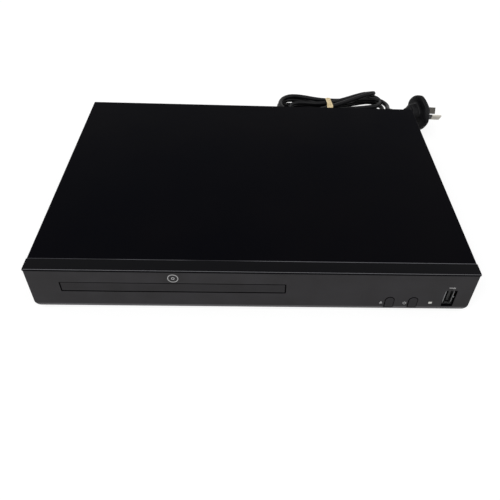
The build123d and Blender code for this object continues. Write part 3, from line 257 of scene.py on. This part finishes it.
# %% [markdown]
# ## Front panel
#
# The panel, the tray's door and the buttons are black ABS, polished by the mould, with a fine grey
# grain on their front faces only. So the top of the panel mirrors the room, and the walls of each
# slot stay black: partly their polish, and partly painted shade, which draws the dark line that shade
# in the gaps makes round the door and the buttons. How far a point lies to the rear tells the two
# finishes apart. The top front edge and the bottom edge are painted paler: painted highlights where
# the rounded edges catch the light.

# %% Front finish
# Polished black is the finish off the grained front, and on the slot walls it is also painted shade for the
# dark seams. The lip and hem tones are painted highlights.
polished_black_and_seam_shade, painted_lip_highlight, painted_hem_highlight = "#050508", "#626265", "#636264"


def grained_front(name, dark, pale, rear, roof=1.0, painted_highlights=False):
    """Grey grain in front of a depth and below a height, and polished black on the rest.

    Its tone varies over 18 mm and its grain over 0.7 mm. When asked, it also paints highlights: a pale
    hairline on the top front edge and a paler tone along the bottom edge, where the rounded edges catch
    the light.
    """
    material, tree, shader, place = new_material(name)
    parts = add(tree, "ShaderNodeSeparateXYZ", {0: place})
    before = add(tree, "ShaderNodeMath", {0: parts.outputs[1], 1: rear}, operation="LESS_THAN")
    under = add(tree, "ShaderNodeMath", {0: parts.outputs[2], 1: roof}, operation="LESS_THAN")
    grained = add(tree, "ShaderNodeMath", {0: before.outputs[0], 1: under.outputs[0]}, operation="MULTIPLY")
    wide = add(tree, "ShaderNodeTexNoise", {"Vector": place, "Scale": fineness(18), "Detail": 3.0})
    tone = add(tree, "ShaderNodeValToRGB", {0: wide.outputs[0]})
    tone.color_ramp.elements[0].position = 0.3
    tone.color_ramp.elements[1].position = 0.7
    tone.color_ramp.elements[0].color = linear(dark)
    tone.color_ramp.elements[1].color = linear(pale)
    # Behind the grained front all is black: on the slot walls this is partly painted shade for the seams.
    colour = add(
        tree, "ShaderNodeMix",
        {"Factor": grained.outputs[0], "A": linear(polished_black_and_seam_shade), "B": tone.outputs[0]}, data_type="RGBA",
    ).outputs[2]
    # Painted highlights: a pale hairline on the lip's top front edge and a paler band along the bottom edge.
    if painted_highlights:
        (_, lip_front, bottom), (_, _, lip_top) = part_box("front_panel")
        near, crest = lip_front + 0.3 * millimetre, lip_top - 0.2 * millimetre
        lip = add(tree, "ShaderNodeMath", {0: parts.outputs[1], 1: near}, operation="LESS_THAN")
        ridge = add(tree, "ShaderNodeMath", {0: parts.outputs[2], 1: crest}, operation="GREATER_THAN")
        edge = add(tree, "ShaderNodeMath", {0: lip.outputs[0], 1: ridge.outputs[0]}, operation="MULTIPLY")
        colour = add(
            tree, "ShaderNodeMix",
            {"Factor": edge.outputs[0], "A": colour, "B": linear(painted_lip_highlight)}, data_type="RGBA",
        ).outputs[2]
        hem_end, hem_start = bottom + 2.3 * millimetre, bottom + 1.7 * millimetre
        hem = add(
            tree, "ShaderNodeMapRange",
            {0: parts.outputs[2], 1: hem_end, 2: hem_start, 3: 0.0, 4: 1.0},
        )
        colour = add(
            tree, "ShaderNodeMix",
            {"Factor": hem.outputs[0], "A": colour, "B": linear(painted_hem_highlight)}, data_type="RGBA",
        ).outputs[2]
    rough = add(tree, "ShaderNodeMapRange", {0: grained.outputs[0], 3: 0.14, 4: 0.5})
    fine = add(tree, "ShaderNodeTexNoise", {"Vector": place, "Scale": fineness(0.7), "Detail": 2.0})
    grain = add(tree, "ShaderNodeMapRange", {0: grained.outputs[0], 3: 0.02, 4: 0.6})
    bump = add(
        tree, "ShaderNodeBump",
        {"Height": fine.outputs[0], "Strength": grain.outputs[0], "Distance": 0.02 * millimetre},
    )
    tree.links.new(colour, shader.inputs["Base Color"])
    tree.links.new(rough.outputs[0], shader.inputs["Roughness"])
    tree.links.new(bump.outputs[0], shader.inputs["Normal"])
    shader.inputs["IOR"].default_value = 1.53
    shader.inputs["Specular IOR Level"].default_value = 0.045
    return material


# The face lies behind the lip on the panel's top edge, and the grain ends above it at the strip
lip_reach, skin, strip_bottom = 0.5 * millimetre, 0.1 * millimetre, 0.0349
panel_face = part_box("front_panel")[0][1] + lip_reach
door_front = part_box("tray_door")[0][1]
button_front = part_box("eject_button")[0][1]
# The panel's finish carries the painted highlights on its top front edge and its bottom edge.
finishes["panel_plastic"] = grained_front(
    "grained_and_polished_abs_panel", "#343334", "#39383a", panel_face + skin,
    roof=strip_bottom, painted_highlights=True,
)
finishes["door_plastic"] = grained_front("grained_abs_door", "#302f30", "#343335", door_front + skin)
finishes["button_plastic"] = grained_front(
    "grained_abs_button", "#2f2e2f", "#333234", button_front + 1.2 * skin
)
print("front of the panel at", round(panel_face * 1000, 2), "mm")

# %% [markdown]
# ## Lacquered steel
#
# The cover is folded sheet steel under black lacquer. The lacquer is smooth with a faint orange peel,
# and handling leaves duller, slightly scuffed patches that change its roughness and not its colour.

# %% Lacquered cover
def black_lacquer(name, dark, pale, low, high, gloss, rim=None):
    """Lacquer: tone from a wide noise, roughness from a patchy one, and a faint orange peel.

    The three are 90, 35 and 1.2 mm in size. In front of the rim's depth the folded sheet's edge is
    painted paler, here more and there less: a painted highlight for the glints along its seam.
    """
    material, tree, shader, place = new_material(name)
    wide = add(tree, "ShaderNodeTexNoise", {"Vector": place, "Scale": fineness(90), "Detail": 2.0})
    tone = add(tree, "ShaderNodeValToRGB", {0: wide.outputs[0]})
    tone.color_ramp.elements[0].color = linear(dark)
    tone.color_ramp.elements[1].color = linear(pale)
    colour = tone.outputs[0]
    # Painted highlight: the cover's front edge is paler in patches, for the glints along the seam.
    if rim is not None:
        parts = add(tree, "ShaderNodeSeparateXYZ", {0: place})
        edge = add(tree, "ShaderNodeMath", {0: parts.outputs[1], 1: rim}, operation="LESS_THAN")
        painted_light_weight = add(tree, "ShaderNodeMapRange", {0: wide.outputs[0], 1: 0.42, 2: 0.56, 3: 0.25, 4: 1.0})
        share = add(tree, "ShaderNodeMath", {0: edge.outputs[0], 1: painted_light_weight.outputs[0]}, operation="MULTIPLY")
        colour = add(
            tree, "ShaderNodeMix",
            {"Factor": share.outputs[0], "A": colour, "B": linear("#6c6c70")}, data_type="RGBA",
        ).outputs[2]
    handled = add(tree, "ShaderNodeTexNoise", {"Vector": place, "Scale": fineness(35), "Detail": 5.0})
    rough = add(tree, "ShaderNodeMapRange", {0: handled.outputs[0], 1: 0.35, 2: 0.65, 3: low, 4: high})
    peel = add(tree, "ShaderNodeTexNoise", {"Vector": place, "Scale": fineness(1.2), "Detail": 1.0})
    bump = add(
        tree, "ShaderNodeBump",
        {"Height": peel.outputs[0], "Strength": 0.3, "Distance": 0.01 * millimetre},
    )
    tree.links.new(colour, shader.inputs["Base Color"])
    tree.links.new(rough.outputs[0], shader.inputs["Roughness"])
    tree.links.new(bump.outputs[0], shader.inputs["Normal"])
    shader.inputs["Specular IOR Level"].default_value = gloss
    return material


# In front of this depth the cover's edge takes a painted highlight.
cover_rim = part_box("top_cover")[0][1] + 0.3 * millimetre
finishes["cover_paint"] = black_lacquer(
    "black_lacquered_steel", "#04050a", "#0c0b0d", 0.3, 0.42, 0.006, cover_rim
)
finishes["capacitor_sleeve"] = black_lacquer("shrunk_vinyl_sleeve", "#14161c", "#1b1e26", 0.25, 0.35, 0.5)
finishes["screw_steel"] = black_lacquer("black_zinc_screw", "#1b1b1d", "#232326", 0.3, 0.4, 0.6)
print("lacquers done")

# %% [markdown]
# ## Bare metals
#
# Zinc-coated sheet shows a spangle of crystals a few millimetres wide, drawn steel shows fine lines
# along the way it was drawn, and nickel is smooth and bright.

# %% Metals
def bare_metal(name, dark, pale, roughness, pattern, size, stretch=(1, 1, 1)):
    """Metal whose tone follows a cell or a noise pattern of a size in mm.

    A stretch under one draws the pattern out into lines along that axis.
    """
    material, tree, shader, place = new_material(name)
    place = add(tree, "ShaderNodeMapping", {"Vector": place, "Scale": stretch}).outputs[0]
    cells = add(tree, pattern, {"Vector": place, "Scale": fineness(size)})
    tone = add(tree, "ShaderNodeValToRGB", {0: cells.outputs["Color"]})
    tone.color_ramp.elements[0].color = linear(dark)
    tone.color_ramp.elements[1].color = linear(pale)
    low, high = roughness - 0.05, roughness + 0.07
    rough = add(tree, "ShaderNodeMapRange", {0: cells.outputs["Color"], 3: low, 4: high})
    tree.links.new(tone.outputs[0], shader.inputs["Base Color"])
    tree.links.new(rough.outputs[0], shader.inputs["Roughness"])
    shader.inputs["Metallic"].default_value = 1.0
    return material


VORONOI, NOISE = "ShaderNodeTexVoronoi", "ShaderNodeTexNoise"
metals = {
    "galvanised_steel": ("galvanised_sheet", "#8c9093", "#a9acae", 0.4, VORONOI, 5),
    "steel": ("drawn_steel", "#8e8f91", "#a6a7a8", 0.3, NOISE, 0.8, (1, 0.08, 1)),
    "jack_metal": ("nickel_plate", "#b9b4aa", "#c9c5bc", 0.2, NOISE, 3),
    "heatsink_aluminium": ("extruded_aluminium", "#a9abae", "#bcbec0", 0.35, NOISE, 0.8, (1, 1, 0.06)),
}
for slot, look in metals.items():
    finishes[slot] = bare_metal(*look)
print(len(metals), "metals")


def pin_metal(name, sleeve_end, painted_shade_beyond):
    """Nickel-plated blades with a black sleeve next to the plug; the far blade is painted dark as painted
    shade.
    """
    material, tree, shader, place = new_material(name)
    parts = add(tree, "ShaderNodeSeparateXYZ", {0: place})
    bare = add(tree, "ShaderNodeMath", {0: parts.outputs[0], 1: sleeve_end}, operation="GREATER_THAN")
    wear = add(tree, "ShaderNodeTexNoise", {"Vector": place, "Scale": fineness(2), "Detail": 2.0})
    tone = add(tree, "ShaderNodeValToRGB", {0: wear.outputs[0]})
    tone.color_ramp.elements[0].color = linear("#b8b3a8")
    tone.color_ramp.elements[1].color = linear("#d2cec6")
    # Painted shade: beyond this depth the far blade is painted dark.
    painted_light_weight = add(tree, "ShaderNodeMath", {0: parts.outputs[1], 1: painted_shade_beyond}, operation="GREATER_THAN")
    metal = add(
        tree, "ShaderNodeMix",
        {"Factor": painted_light_weight.outputs[0], "A": tone.outputs[0], "B": linear("#3f3d3a")}, data_type="RGBA",
    )
    colour = add(
        tree, "ShaderNodeMix",
        {"Factor": bare.outputs[0], "A": linear("#161618"), "B": metal.outputs[2]}, data_type="RGBA",
    )
    tree.links.new(colour.outputs[2], shader.inputs["Base Color"])
    tree.links.new(bare.outputs[0], shader.inputs["Metallic"])
    shader.inputs["Roughness"].default_value = 0.3
    return material


# The far blade, beyond 134.5 mm along Y, is painted dark as painted shade.
finishes["pin_metal"] = pin_metal("sleeved_nickel_blades", sleeve_end=0.1782, painted_shade_beyond=0.1345)
print("blades done")

# %% [markdown]
# ## Rubber, cord and band
#
# Soft PVC has a dull sheen with faint marks along it. The hank is tied with a pale rubber band
# that has darker streaks where it is stretched.

# %% Soft finishes
finishes["rubber"] = moulded_plastic(
    "black_rubber", "#111111", "#181717", 0.7, grain=0.5, depth=0.04, gloss=0.2
)
finishes["cord_rubber"] = moulded_plastic(
    "soft_pvc_cord", "#08080a", "#111113", 0.38, grain=1.5, depth=0.04, spread=5, gloss=0.12
)
finishes["band_paper"] = moulded_plastic(
    "natural_rubber_band", "#b89e70", "#f0e0b6", 0.6, grain=0.6, depth=0.1, spread=3
)
print("soft finishes done")

# %% [markdown]
# ## Circuit boards
#
# A double-sided glass board under green solder mask, and a brown paper board. Copper tracks show as
# a slightly paler net in the mask, which the edges of square cells draw well.

# %% Boards
def circuit_board(name, mask, track, size):
    """Solder mask with tracks: the distance to a square cell's edge, cut to a thin line."""
    material, tree, shader, place = new_material(name)
    cells = add(
        tree, "ShaderNodeTexVoronoi", {"Vector": place, "Scale": fineness(size), "Randomness": 0.75},
        feature="F1", distance="CHEBYCHEV",
    )
    lines = add(tree, "ShaderNodeMath", {0: cells.outputs["Distance"], 1: 9.0}, operation="MULTIPLY")
    wave = add(tree, "ShaderNodeMath", {0: lines.outputs[0]}, operation="SINE")
    tone = add(tree, "ShaderNodeValToRGB", {0: wave.outputs[0]})
    tone.color_ramp.elements[0].position = 0.45
    tone.color_ramp.elements[1].position = 0.55
    tone.color_ramp.elements[0].color = linear(mask)
    tone.color_ramp.elements[1].color = linear(track)
    tree.links.new(tone.outputs[0], shader.inputs["Base Color"])
    bump = add(
        tree, "ShaderNodeBump",
        {"Height": tone.outputs[0], "Strength": 0.5, "Distance": 0.03 * millimetre},
    )
    tree.links.new(bump.outputs[0], shader.inputs["Normal"])
    shader.inputs["Roughness"].default_value = 0.3
    return material


finishes["board_laminate"] = circuit_board("green_masked_laminate", "#14502a", "#1e6a39", 7)
finishes["paper_laminate"] = circuit_board("brown_paper_laminate", "#8a5f34", "#9c7244", 10)
print("boards done")

# %% [markdown]
# ## Glass and coloured rings
#
# The pickup's lens has a bluish coating, and the fuse is a clear tube. The rings of the four sockets
# are coloured by the cable that goes in: yellow, white, red and orange.

# %% Glass and rings
def clear_glass(name, tint, roughness):
    """Glass that lets the light through, with faint smears in its roughness."""
    material, tree, shader, place = new_material(name)
    smear = add(tree, "ShaderNodeTexNoise", {"Vector": place, "Scale": fineness(3), "Detail": 3.0})
    rough = add(tree, "ShaderNodeMapRange", {0: smear.outputs[0], 3: roughness, 4: roughness + 0.1})
    tree.links.new(rough.outputs[0], shader.inputs["Roughness"])
    shader.inputs["Base Color"].default_value = linear(tint)
    shader.inputs["Transmission Weight"].default_value = 0.85
    shader.inputs["IOR"].default_value = 1.5
    return material


def coloured_rings(name, first, pitch, colours):
    """Each ring's colour follows its place along X."""
    material, tree, shader, place = new_material(name)
    parts = add(tree, "ShaderNodeSeparateXYZ", {0: place})
    share = add(
        tree, "ShaderNodeMapRange",
        {0: parts.outputs[0], 1: first - pitch / 2, 2: first + pitch * (len(colours) - 0.5), 3: 0.0, 4: 1.0},
    )
    ramp = add(tree, "ShaderNodeValToRGB", {0: share.outputs[0]})
    ramp.color_ramp.interpolation = "CONSTANT"
    while len(ramp.color_ramp.elements) < len(colours):
        ramp.color_ramp.elements.new(0.9)
    for index, colour in enumerate(colours):
        ramp.color_ramp.elements[index].position = index / len(colours)
        ramp.color_ramp.elements[index].color = linear(colour)
    tree.links.new(ramp.outputs[0], shader.inputs["Base Color"])
    shader.inputs["Roughness"].default_value = 0.3
    return material


finishes["lens_glass"] = clear_glass("coated_lens_glass", "#9fb4d8", 0.02)
finishes["fuse_glass"] = clear_glass("fuse_glass_tube", "#dfe6e6", 0.05)
finishes["collar_plastic"] = coloured_rings(
    "coloured_socket_rings", first=-0.0280, pitch=0.0125,
    colours=("#d8b81c", "#dedbd2", "#b02a20", "#d4671c"),
)
print(len(finishes), "finishes in all")

# %% [markdown]
# ## Dress the CAD nodes
#
# The record names one material slot for each piece, and each slot has one finish here. So a piece
# keeps its shape from the CAD and only takes a material.

# %% Give every CAD node its finish
slots = {part["node"]: part["material_slot"] for part in frame["record"]["subparts"]}
for name, node in frame["nodes"].items():
    node.data.materials.clear()
    node.data.materials.append(finishes[slots[name]])
print(len(slots), "nodes dressed")

# %% [markdown]
# ## Mains lead
#
# One lead from the boot at the rear to the plug, folded into a hank for storage. It is one NURBS
# curve: its points are the places the lead is drawn towards, so it stays smooth. The hank's points
# are twelve to a turn: five round each end and one on each side of the waist, where the band holds
# the turns together. Away from the band each fold has its own angle, reach, width and lift, so the
# turns fan out as loose ones do. A tilted fold stands on its edge.

# %% The hank's turns
hank_middle = np.array([0.0765, 0.1515])
hank_turn = math.radians(6.0)
hank_run, hank_fold, hank_waist = 0.0423, 0.0155, 0.0085
fold_step, waist_step, layer_step = 0.0051, 0.0052, 0.0043
hank_low = 0.0033
turn_points, hank_count = 12, 70
fold_points = turn_points // 2
# Degrees between two points round a fold
corner = 45.0
layer_turns, top_layer = 1.5, 3
# Twelve folds from the lowest to the highest: the even ones are at the left end
folds = np.array([
    # degrees, reach, width, lift, tilt
    (3.0, -0.001, 1.0, 0.0, 0.0), (-7.0, 0.003, 1.0, 0.0, 0.0), (-2.0, 0.001, 1.1, 0.0, 0.0),
    (-3.5, 0.001, 1.0, 0.0005, 0.0), (-3.0, -0.004, 1.1, 0.001, 0.0), (2.0, 0.002, 1.0, 0.002, 0.0),
    (-2.0, -0.008, 1.2, 0.0015, 0.0), (4.4, 0.002, 1.0, 0.0042, 0.0), (0.0, -0.014, 1.3, 0.001, 0.0),
    (8.9, -0.003, 0.95, 0.0072, 0.55), (1.5, -0.0095, 1.5, 0.0012, 0.0), (-6.5, 0.004, 1.0, 0.0, 0.0),
])


def hank_points(count):
    """Control points of the hank: where each lies in its turn gives along and across.

    Around an end they lie a corner apart on a half circle of the fold's radius, widened by one over
    the cosine of half a corner so that the curve inside them has that radius. On a side there is
    one, at the waist.
    """
    number = np.arange(count)
    turns = number / turn_points
    layer = np.minimum((turns / layer_turns).astype(int), top_layer)
    inside = turns - layer * layer_turns
    turned_in = np.where(layer % 2 == 0, inside, layer_turns - inside)
    degrees, reach, width, lift, tilt = folds[number // fold_points].T
    step = number % turn_points
    tied = step % fold_points == 0
    left = step < fold_points
    fold = (hank_fold - fold_step * turned_in) / math.cos(math.radians(corner / 2)) * width
    waist = (hank_waist - waist_step * turned_in) * np.where(step == 0, -1.0, 1.0)
    degrees_round = np.where(left, -90 - corner * (step - 1), 90 - corner * (step - fold_points - 1))
    angle = np.radians(degrees_round)
    along = np.where(tied, 0.0, np.where(left, -1.0, 1.0) * (hank_run + reach) + fold * np.cos(angle))
    across = np.where(tied, waist, fold * np.sin(angle))
    fan = np.where(tied, 0.0, np.radians(degrees)) + hank_turn
    # Lowering a tied point by a sixth of its neighbours' lift keeps the curve itself level under the band
    risen = np.where(tied, 0.0, lift - tilt * across)
    drawn_down = np.where(tied, (np.roll(risen, 1) + np.roll(risen, -1)) / 6, 0.0)
    return np.stack([
        hank_middle[0] + along * np.cos(fan) - across * np.sin(fan),
        hank_middle[1] + along * np.sin(fan) + across * np.cos(fan),
        hank_low + layer_step * layer + risen - drawn_down,
    ], axis=1)


# From the boot down to the first waist point, and from the last fold up to the plug
lead_points = np.array([
    (0.124, 0.120, 0.012), (0.124, 0.130, 0.012), (0.1188, 0.1368, 0.007), (0.1065, 0.1416, 0.0028),
    (0.0883, 0.1455, 0.0033),
])
tail_points = np.array([
    (0.1362, 0.1430, 0.0174), (0.1368, 0.1366, 0.0188), (0.1395, 0.1312, 0.0208),
    (0.14453, 0.12892, 0.02161), (0.15129, 0.12988, 0.02088),
])
turns = hank_points(hank_count)
route = np.concatenate([lead_points, turns, tail_points])
print(len(turns), "points in the hank,", len(route), "in all")

# %% The lead as one smooth curve
def smooth_cord(name, points, radius):
    """A NURBS curve of order three drawn towards the points, with a round section."""
    curve = bpy.data.curves.new(name, "CURVE")
    curve.dimensions = "3D"
    spline = curve.splines.new("NURBS")
    spline.points.add(len(points) - 1)
    flat = np.concatenate([points, np.ones((len(points), 1))], axis=1)
    spline.points.foreach_set("co", flat.ravel())
    spline.order_u = 3
    spline.use_endpoint_u = True
    spline.resolution_u = 5
    curve.bevel_depth = radius
    curve.bevel_resolution = 3
    curve.use_fill_caps = True
    cord = bpy.data.objects.new(name, curve)
    scene.collection.objects.link(cord)
    return cord


cord_diameter = 0.0044
mains_cord = smooth_cord("mains_cord", route, cord_diameter / 2)
mains_cord.data.materials.append(finishes["cord_rubber"])
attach(mains_cord, "chassis")
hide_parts("mains_lead", "cord_hank", "cord_tail")

# %% [markdown]
# ## Surfaces from grids
#
# The band and the plug are grids of points: each row is one closed way round, and the rows follow
# each other along the piece. One function turns such a grid into a mesh, and can cap its two ends.

# %% A mesh from a grid of points
def grid_piece(name, points, slot, caps=False):
    """Four-sided faces between neighbours of a grid of closed rows, computed as whole arrays."""
    rows, columns = points.shape[:2]
    number = np.arange(rows * columns).reshape(rows, columns)
    here, next_row = number[:-1], number[1:]
    beside, next_beside = np.roll(here, -1, axis=1), np.roll(next_row, -1, axis=1)
    faces = np.stack([here, beside, next_beside, next_row], axis=-1)
    faces = [tuple(face) for face in faces.reshape(-1, 4).tolist()]
    if caps:
        faces.append(tuple(number[0][::-1].tolist()))
        faces.append(tuple(number[-1].tolist()))
    mesh = bpy.data.meshes.new(name)
    mesh.from_pydata(points.reshape(-1, 3).tolist(), [], faces)
    mesh.validate()
    piece = bpy.data.objects.new(name, mesh)
    scene.collection.objects.link(piece)
    mesh.materials.append(finishes[slot])
    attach(piece, "chassis")
    return piece


# %% [markdown]
# ## Band round the hank
#
# A wide natural-rubber band, wound twice. Its path round the turns is a rounded rectangle, made from
# a superellipse, and small waves along its edges keep it from looking cut from sheet.

# %% Rubber band
band_width, band_wall = 0.0038, 0.0006


def band_surface(width, half_across, half_high, middle, shift, skew):
    """A superellipse of power four round the waist, swept over the band's width.

    The two edges wave by a few tenths of a millimetre, by sines of the angle round the path.
    """
    angle = np.linspace(0, 2 * math.pi, 96, endpoint=False)
    across = half_across * np.sign(np.cos(angle)) * np.abs(np.cos(angle)) ** 0.5
    high = half_high * np.sign(np.sin(angle)) * np.abs(np.sin(angle)) ** 0.5
    share = np.linspace(-0.5, 0.5, 9)[:, None]
    wave = 0.0003 * np.sin(3 * angle + 1) + 0.0002 * np.sin(7 * angle)
    along = share * (width + wave) + shift + skew * np.cos(angle)
    crown = 1 + 0.02 * (1 - 4 * share ** 2) + 0.008 * np.sin(11 * angle + 9 * share)
    cosine, sine = math.cos(hank_turn), math.sin(hank_turn)
    return np.stack([
        middle[0] + along * cosine - across * crown * sine,
        middle[1] + along * sine + across * crown * cosine,
        np.maximum(middle[2] + high * crown, band_wall),
    ], axis=-1)


# How far the band stands off the outermost turns below, above and at the sides
slack_below, slack_above, slack_beside = 0.0004, 0.0008, 0.0003
band_low = hank_low - cord_diameter / 2 - slack_below
band_high = hank_low + top_layer * layer_step + cord_diameter / 2 + slack_above
band_middle = (*hank_middle, (band_low + band_high) / 2)
band_half_high = (band_high - band_low) / 2
band_half_across = hank_waist + cord_diameter / 2 + slack_beside
# Two turns of the band: how far along the hank, how far askew and how much wider each lies
for index, (shift, skew, grow) in enumerate(((-0.0006, 0.0010, 0.0), (0.0008, 0.0004, 0.0004))):
    half_across, half_high = band_half_across + grow, band_half_high + grow * 0.3
    points = band_surface(band_width, half_across, half_high, band_middle, shift, skew)
    band = grid_piece(f"hank_band_{index + 1}", points, "band_paper")
    wall = band.modifiers.new("wall", "SOLIDIFY")
    wall.thickness = band_wall
    wall.offset = 0.0
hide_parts("cord_band")
print("band", round(band_half_high * 2000, 1), "mm high")

# %% [markdown]
# ## Plug
#
# A moulded two-pin plug: a flange with blunt corners for the fingers, and a body that narrows to the
# cord through a ribbed sleeve. One profile carries it: for each distance behind its face, the half
# width and half height of a section.

# %% Plug body
plug_dip, plug_turn = math.radians(6.0), math.radians(8.0)
plug_half = 0.019
plug_face = np.array([0.170, 0.1325, plug_half * math.cos(plug_dip)])
plug_way = np.array([
    math.cos(plug_dip) * math.cos(plug_turn), math.cos(plug_dip) * math.sin(plug_turn), -math.sin(plug_dip),
])
plug_level = np.array([-math.sin(plug_turn), math.cos(plug_turn), 0.0])
plug_up = np.cross(plug_way, plug_level)


def plug_surface(stations, sides=64, power=1.5, lean=0.27):
    """Sections along the plug's axis: each station gives how far back, half width and half height.

    The outline is a superellipse, whose power under two draws it to blunt corners. Only the far upper
    side leans back from the pins, by lean for each metre off the axis.
    """
    angle = np.linspace(0, 2 * math.pi, sides, endpoint=False)
    back, wide, high = (stations[:, index][:, None, None] for index in range(3))
    across = wide * (np.sign(np.cos(angle)) * np.abs(np.cos(angle)) ** (2 / power))[None, :, None]
    upward = high * (np.sign(np.sin(angle)) * np.abs(np.sin(angle)) ** (2 / power))[None, :, None]
    leaning = lean * np.maximum(across + upward, 0.0)
    return plug_face - (back + leaning) * plug_way + across * plug_level + upward * plug_up


# The ribbed sleeve widens from the cord, with a raised rib at every second station
neck_back, neck_radius = 0.0190, 0.0036
rib_step, rib_slope, rib_height = 0.0008, 0.00048, 0.0004
rib = np.arange(7)
rib_radius = neck_radius + rib_slope * rib + rib_height * (rib % 2)
ribs = np.stack([neck_back - rib_step * rib, rib_radius, rib_radius], axis=1)
# The body, the flange and its rounded rim, down to the face
body_run = np.array([
    (0.0138, 0.0072, 0.0076), (0.0130, 0.0080, 0.0087), (0.0118, 0.0083, 0.0092), (0.0098, 0.0084, 0.0093),
    (0.0078, 0.0085, 0.0095), (0.0066, 0.0090, 0.0104), (0.0060, 0.0112, 0.0122), (0.0054, 0.0142, 0.0152),
    (0.0050, 0.0166, 0.0175), (0.0044, 0.0177, 0.0184), (0.0036, 0.0181, 0.0186), (0.0014, 0.0181, 0.0186),
    (0.0007, 0.0179, 0.0184), (0.0002, 0.0174, 0.0180), (0.0000, 0.0168, 0.0174),
])
plug_points = plug_surface(np.concatenate([ribs, body_run]))
plug = grid_piece("plug_moulding", plug_points, "plug_plastic", caps=True)
plug.data.polygons.foreach_set("use_smooth", np.ones(len(plug.data.polygons), bool))
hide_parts("plug_body")
print("plug sections:", len(ribs) + len(body_run))

# %% [markdown]
# ## Printed signs
#
# Small pale signs are screen printed on the face: a triangle over a bar by the first button, a ring
# with a stroke by the second, a ring round a hub above the tray, and a bar with an arrow above the
# port. Each is a flat strip or ring, computed from its outline, three hundredths of a millimetre
# thick.

# %% Print finish
finishes["print"] = moulded_plastic("pale_screen_print", "#a9a9a9", "#bdbdbd", 0.5, depth=0.0)
ink, ring_steps, sliver = 0.00003, 48, 0.00001
face_y = panel_face - 0.00004


def printed_ring(x, z, outer, inner, first=0.0, last=360.0):
    """A flat ring or part of one: two radii at each angle from first to last."""
    angle = np.radians(np.linspace(first, last, ring_steps))[:, None]
    radius = np.array([inner, outer])[None, :]
    level = np.full((ring_steps, 2), face_y)
    return np.stack([x + radius * np.cos(angle), level, z + radius * np.sin(angle)], axis=-1)


def printed_sign(name, strips):
    """One mesh of several strips, each a grid of two columns, pushed to a thin layer."""
    corners, faces, start = [], [], 0
    for points in strips:
        rows = len(points)
        first = np.arange(rows - 1) * 2 + start
        faces += np.stack([first, first + 1, first + 3, first + 2], axis=1).tolist()
        corners += points.reshape(-1, 3).tolist()
        start += rows * 2
    mesh = bpy.data.meshes.new(name)
    mesh.from_pydata(corners, [], faces)
    sign = bpy.data.objects.new(name, mesh)
    scene.collection.objects.link(sign)
    mesh.materials.append(finishes["print"])
    layer = sign.modifiers.new("layer", "SOLIDIFY")
    layer.thickness = ink
    layer.offset = 0.0
    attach(sign, "chassis")
    return sign


def printed_bar(x, z, width, height):
    """An upright rectangle as a strip of two rows."""
    return np.array([
        [(x - width / 2, face_y, z - height / 2), (x - width / 2, face_y, z + height / 2)],
        [(x + width / 2, face_y, z - height / 2), (x + width / 2, face_y, z + height / 2)],
    ])


def printed_triangle(x, z, width, height):
    """A triangle on its base: the strip's upper edge rises to the tip and falls again."""
    return np.array([
        [(x - width / 2, face_y, z), (x - width / 2, face_y, z + sliver)],
        [(x, face_y, z), (x, face_y, z + height)],
        [(x + width / 2, face_y, z), (x + width / 2, face_y, z + sliver)],
    ])


# Each sign by its place along X, with its strips' heights and sizes
eject_x, power_x, disc_x, port_x = 0.0876, 0.1043, -0.0542, 0.1342
disc_z = 0.0296
signs = [
    printed_sign("eject_sign", [
        printed_triangle(eject_x, 0.0079, 0.0020, 0.0013), printed_bar(eject_x, 0.0072, 0.0020, 0.0005),
    ]),
    printed_sign("power_sign", [
        printed_ring(power_x, 0.0077, 0.0012, 0.0009, 120, 420),
        printed_bar(power_x, 0.0086, 0.0003, 0.0012),
    ]),
    printed_sign("disc_sign", [
        printed_ring(disc_x, disc_z, 0.0036, 0.0031), printed_ring(disc_x, disc_z, 0.0011, 0.0007),
    ]),
    printed_sign("port_sign", [
        printed_bar(port_x, 0.0234, 0.0044, 0.0005),
        printed_triangle(port_x + 0.0012, 0.0227, 0.0018, 0.0016),
    ]),
]
print(len(signs), "signs")
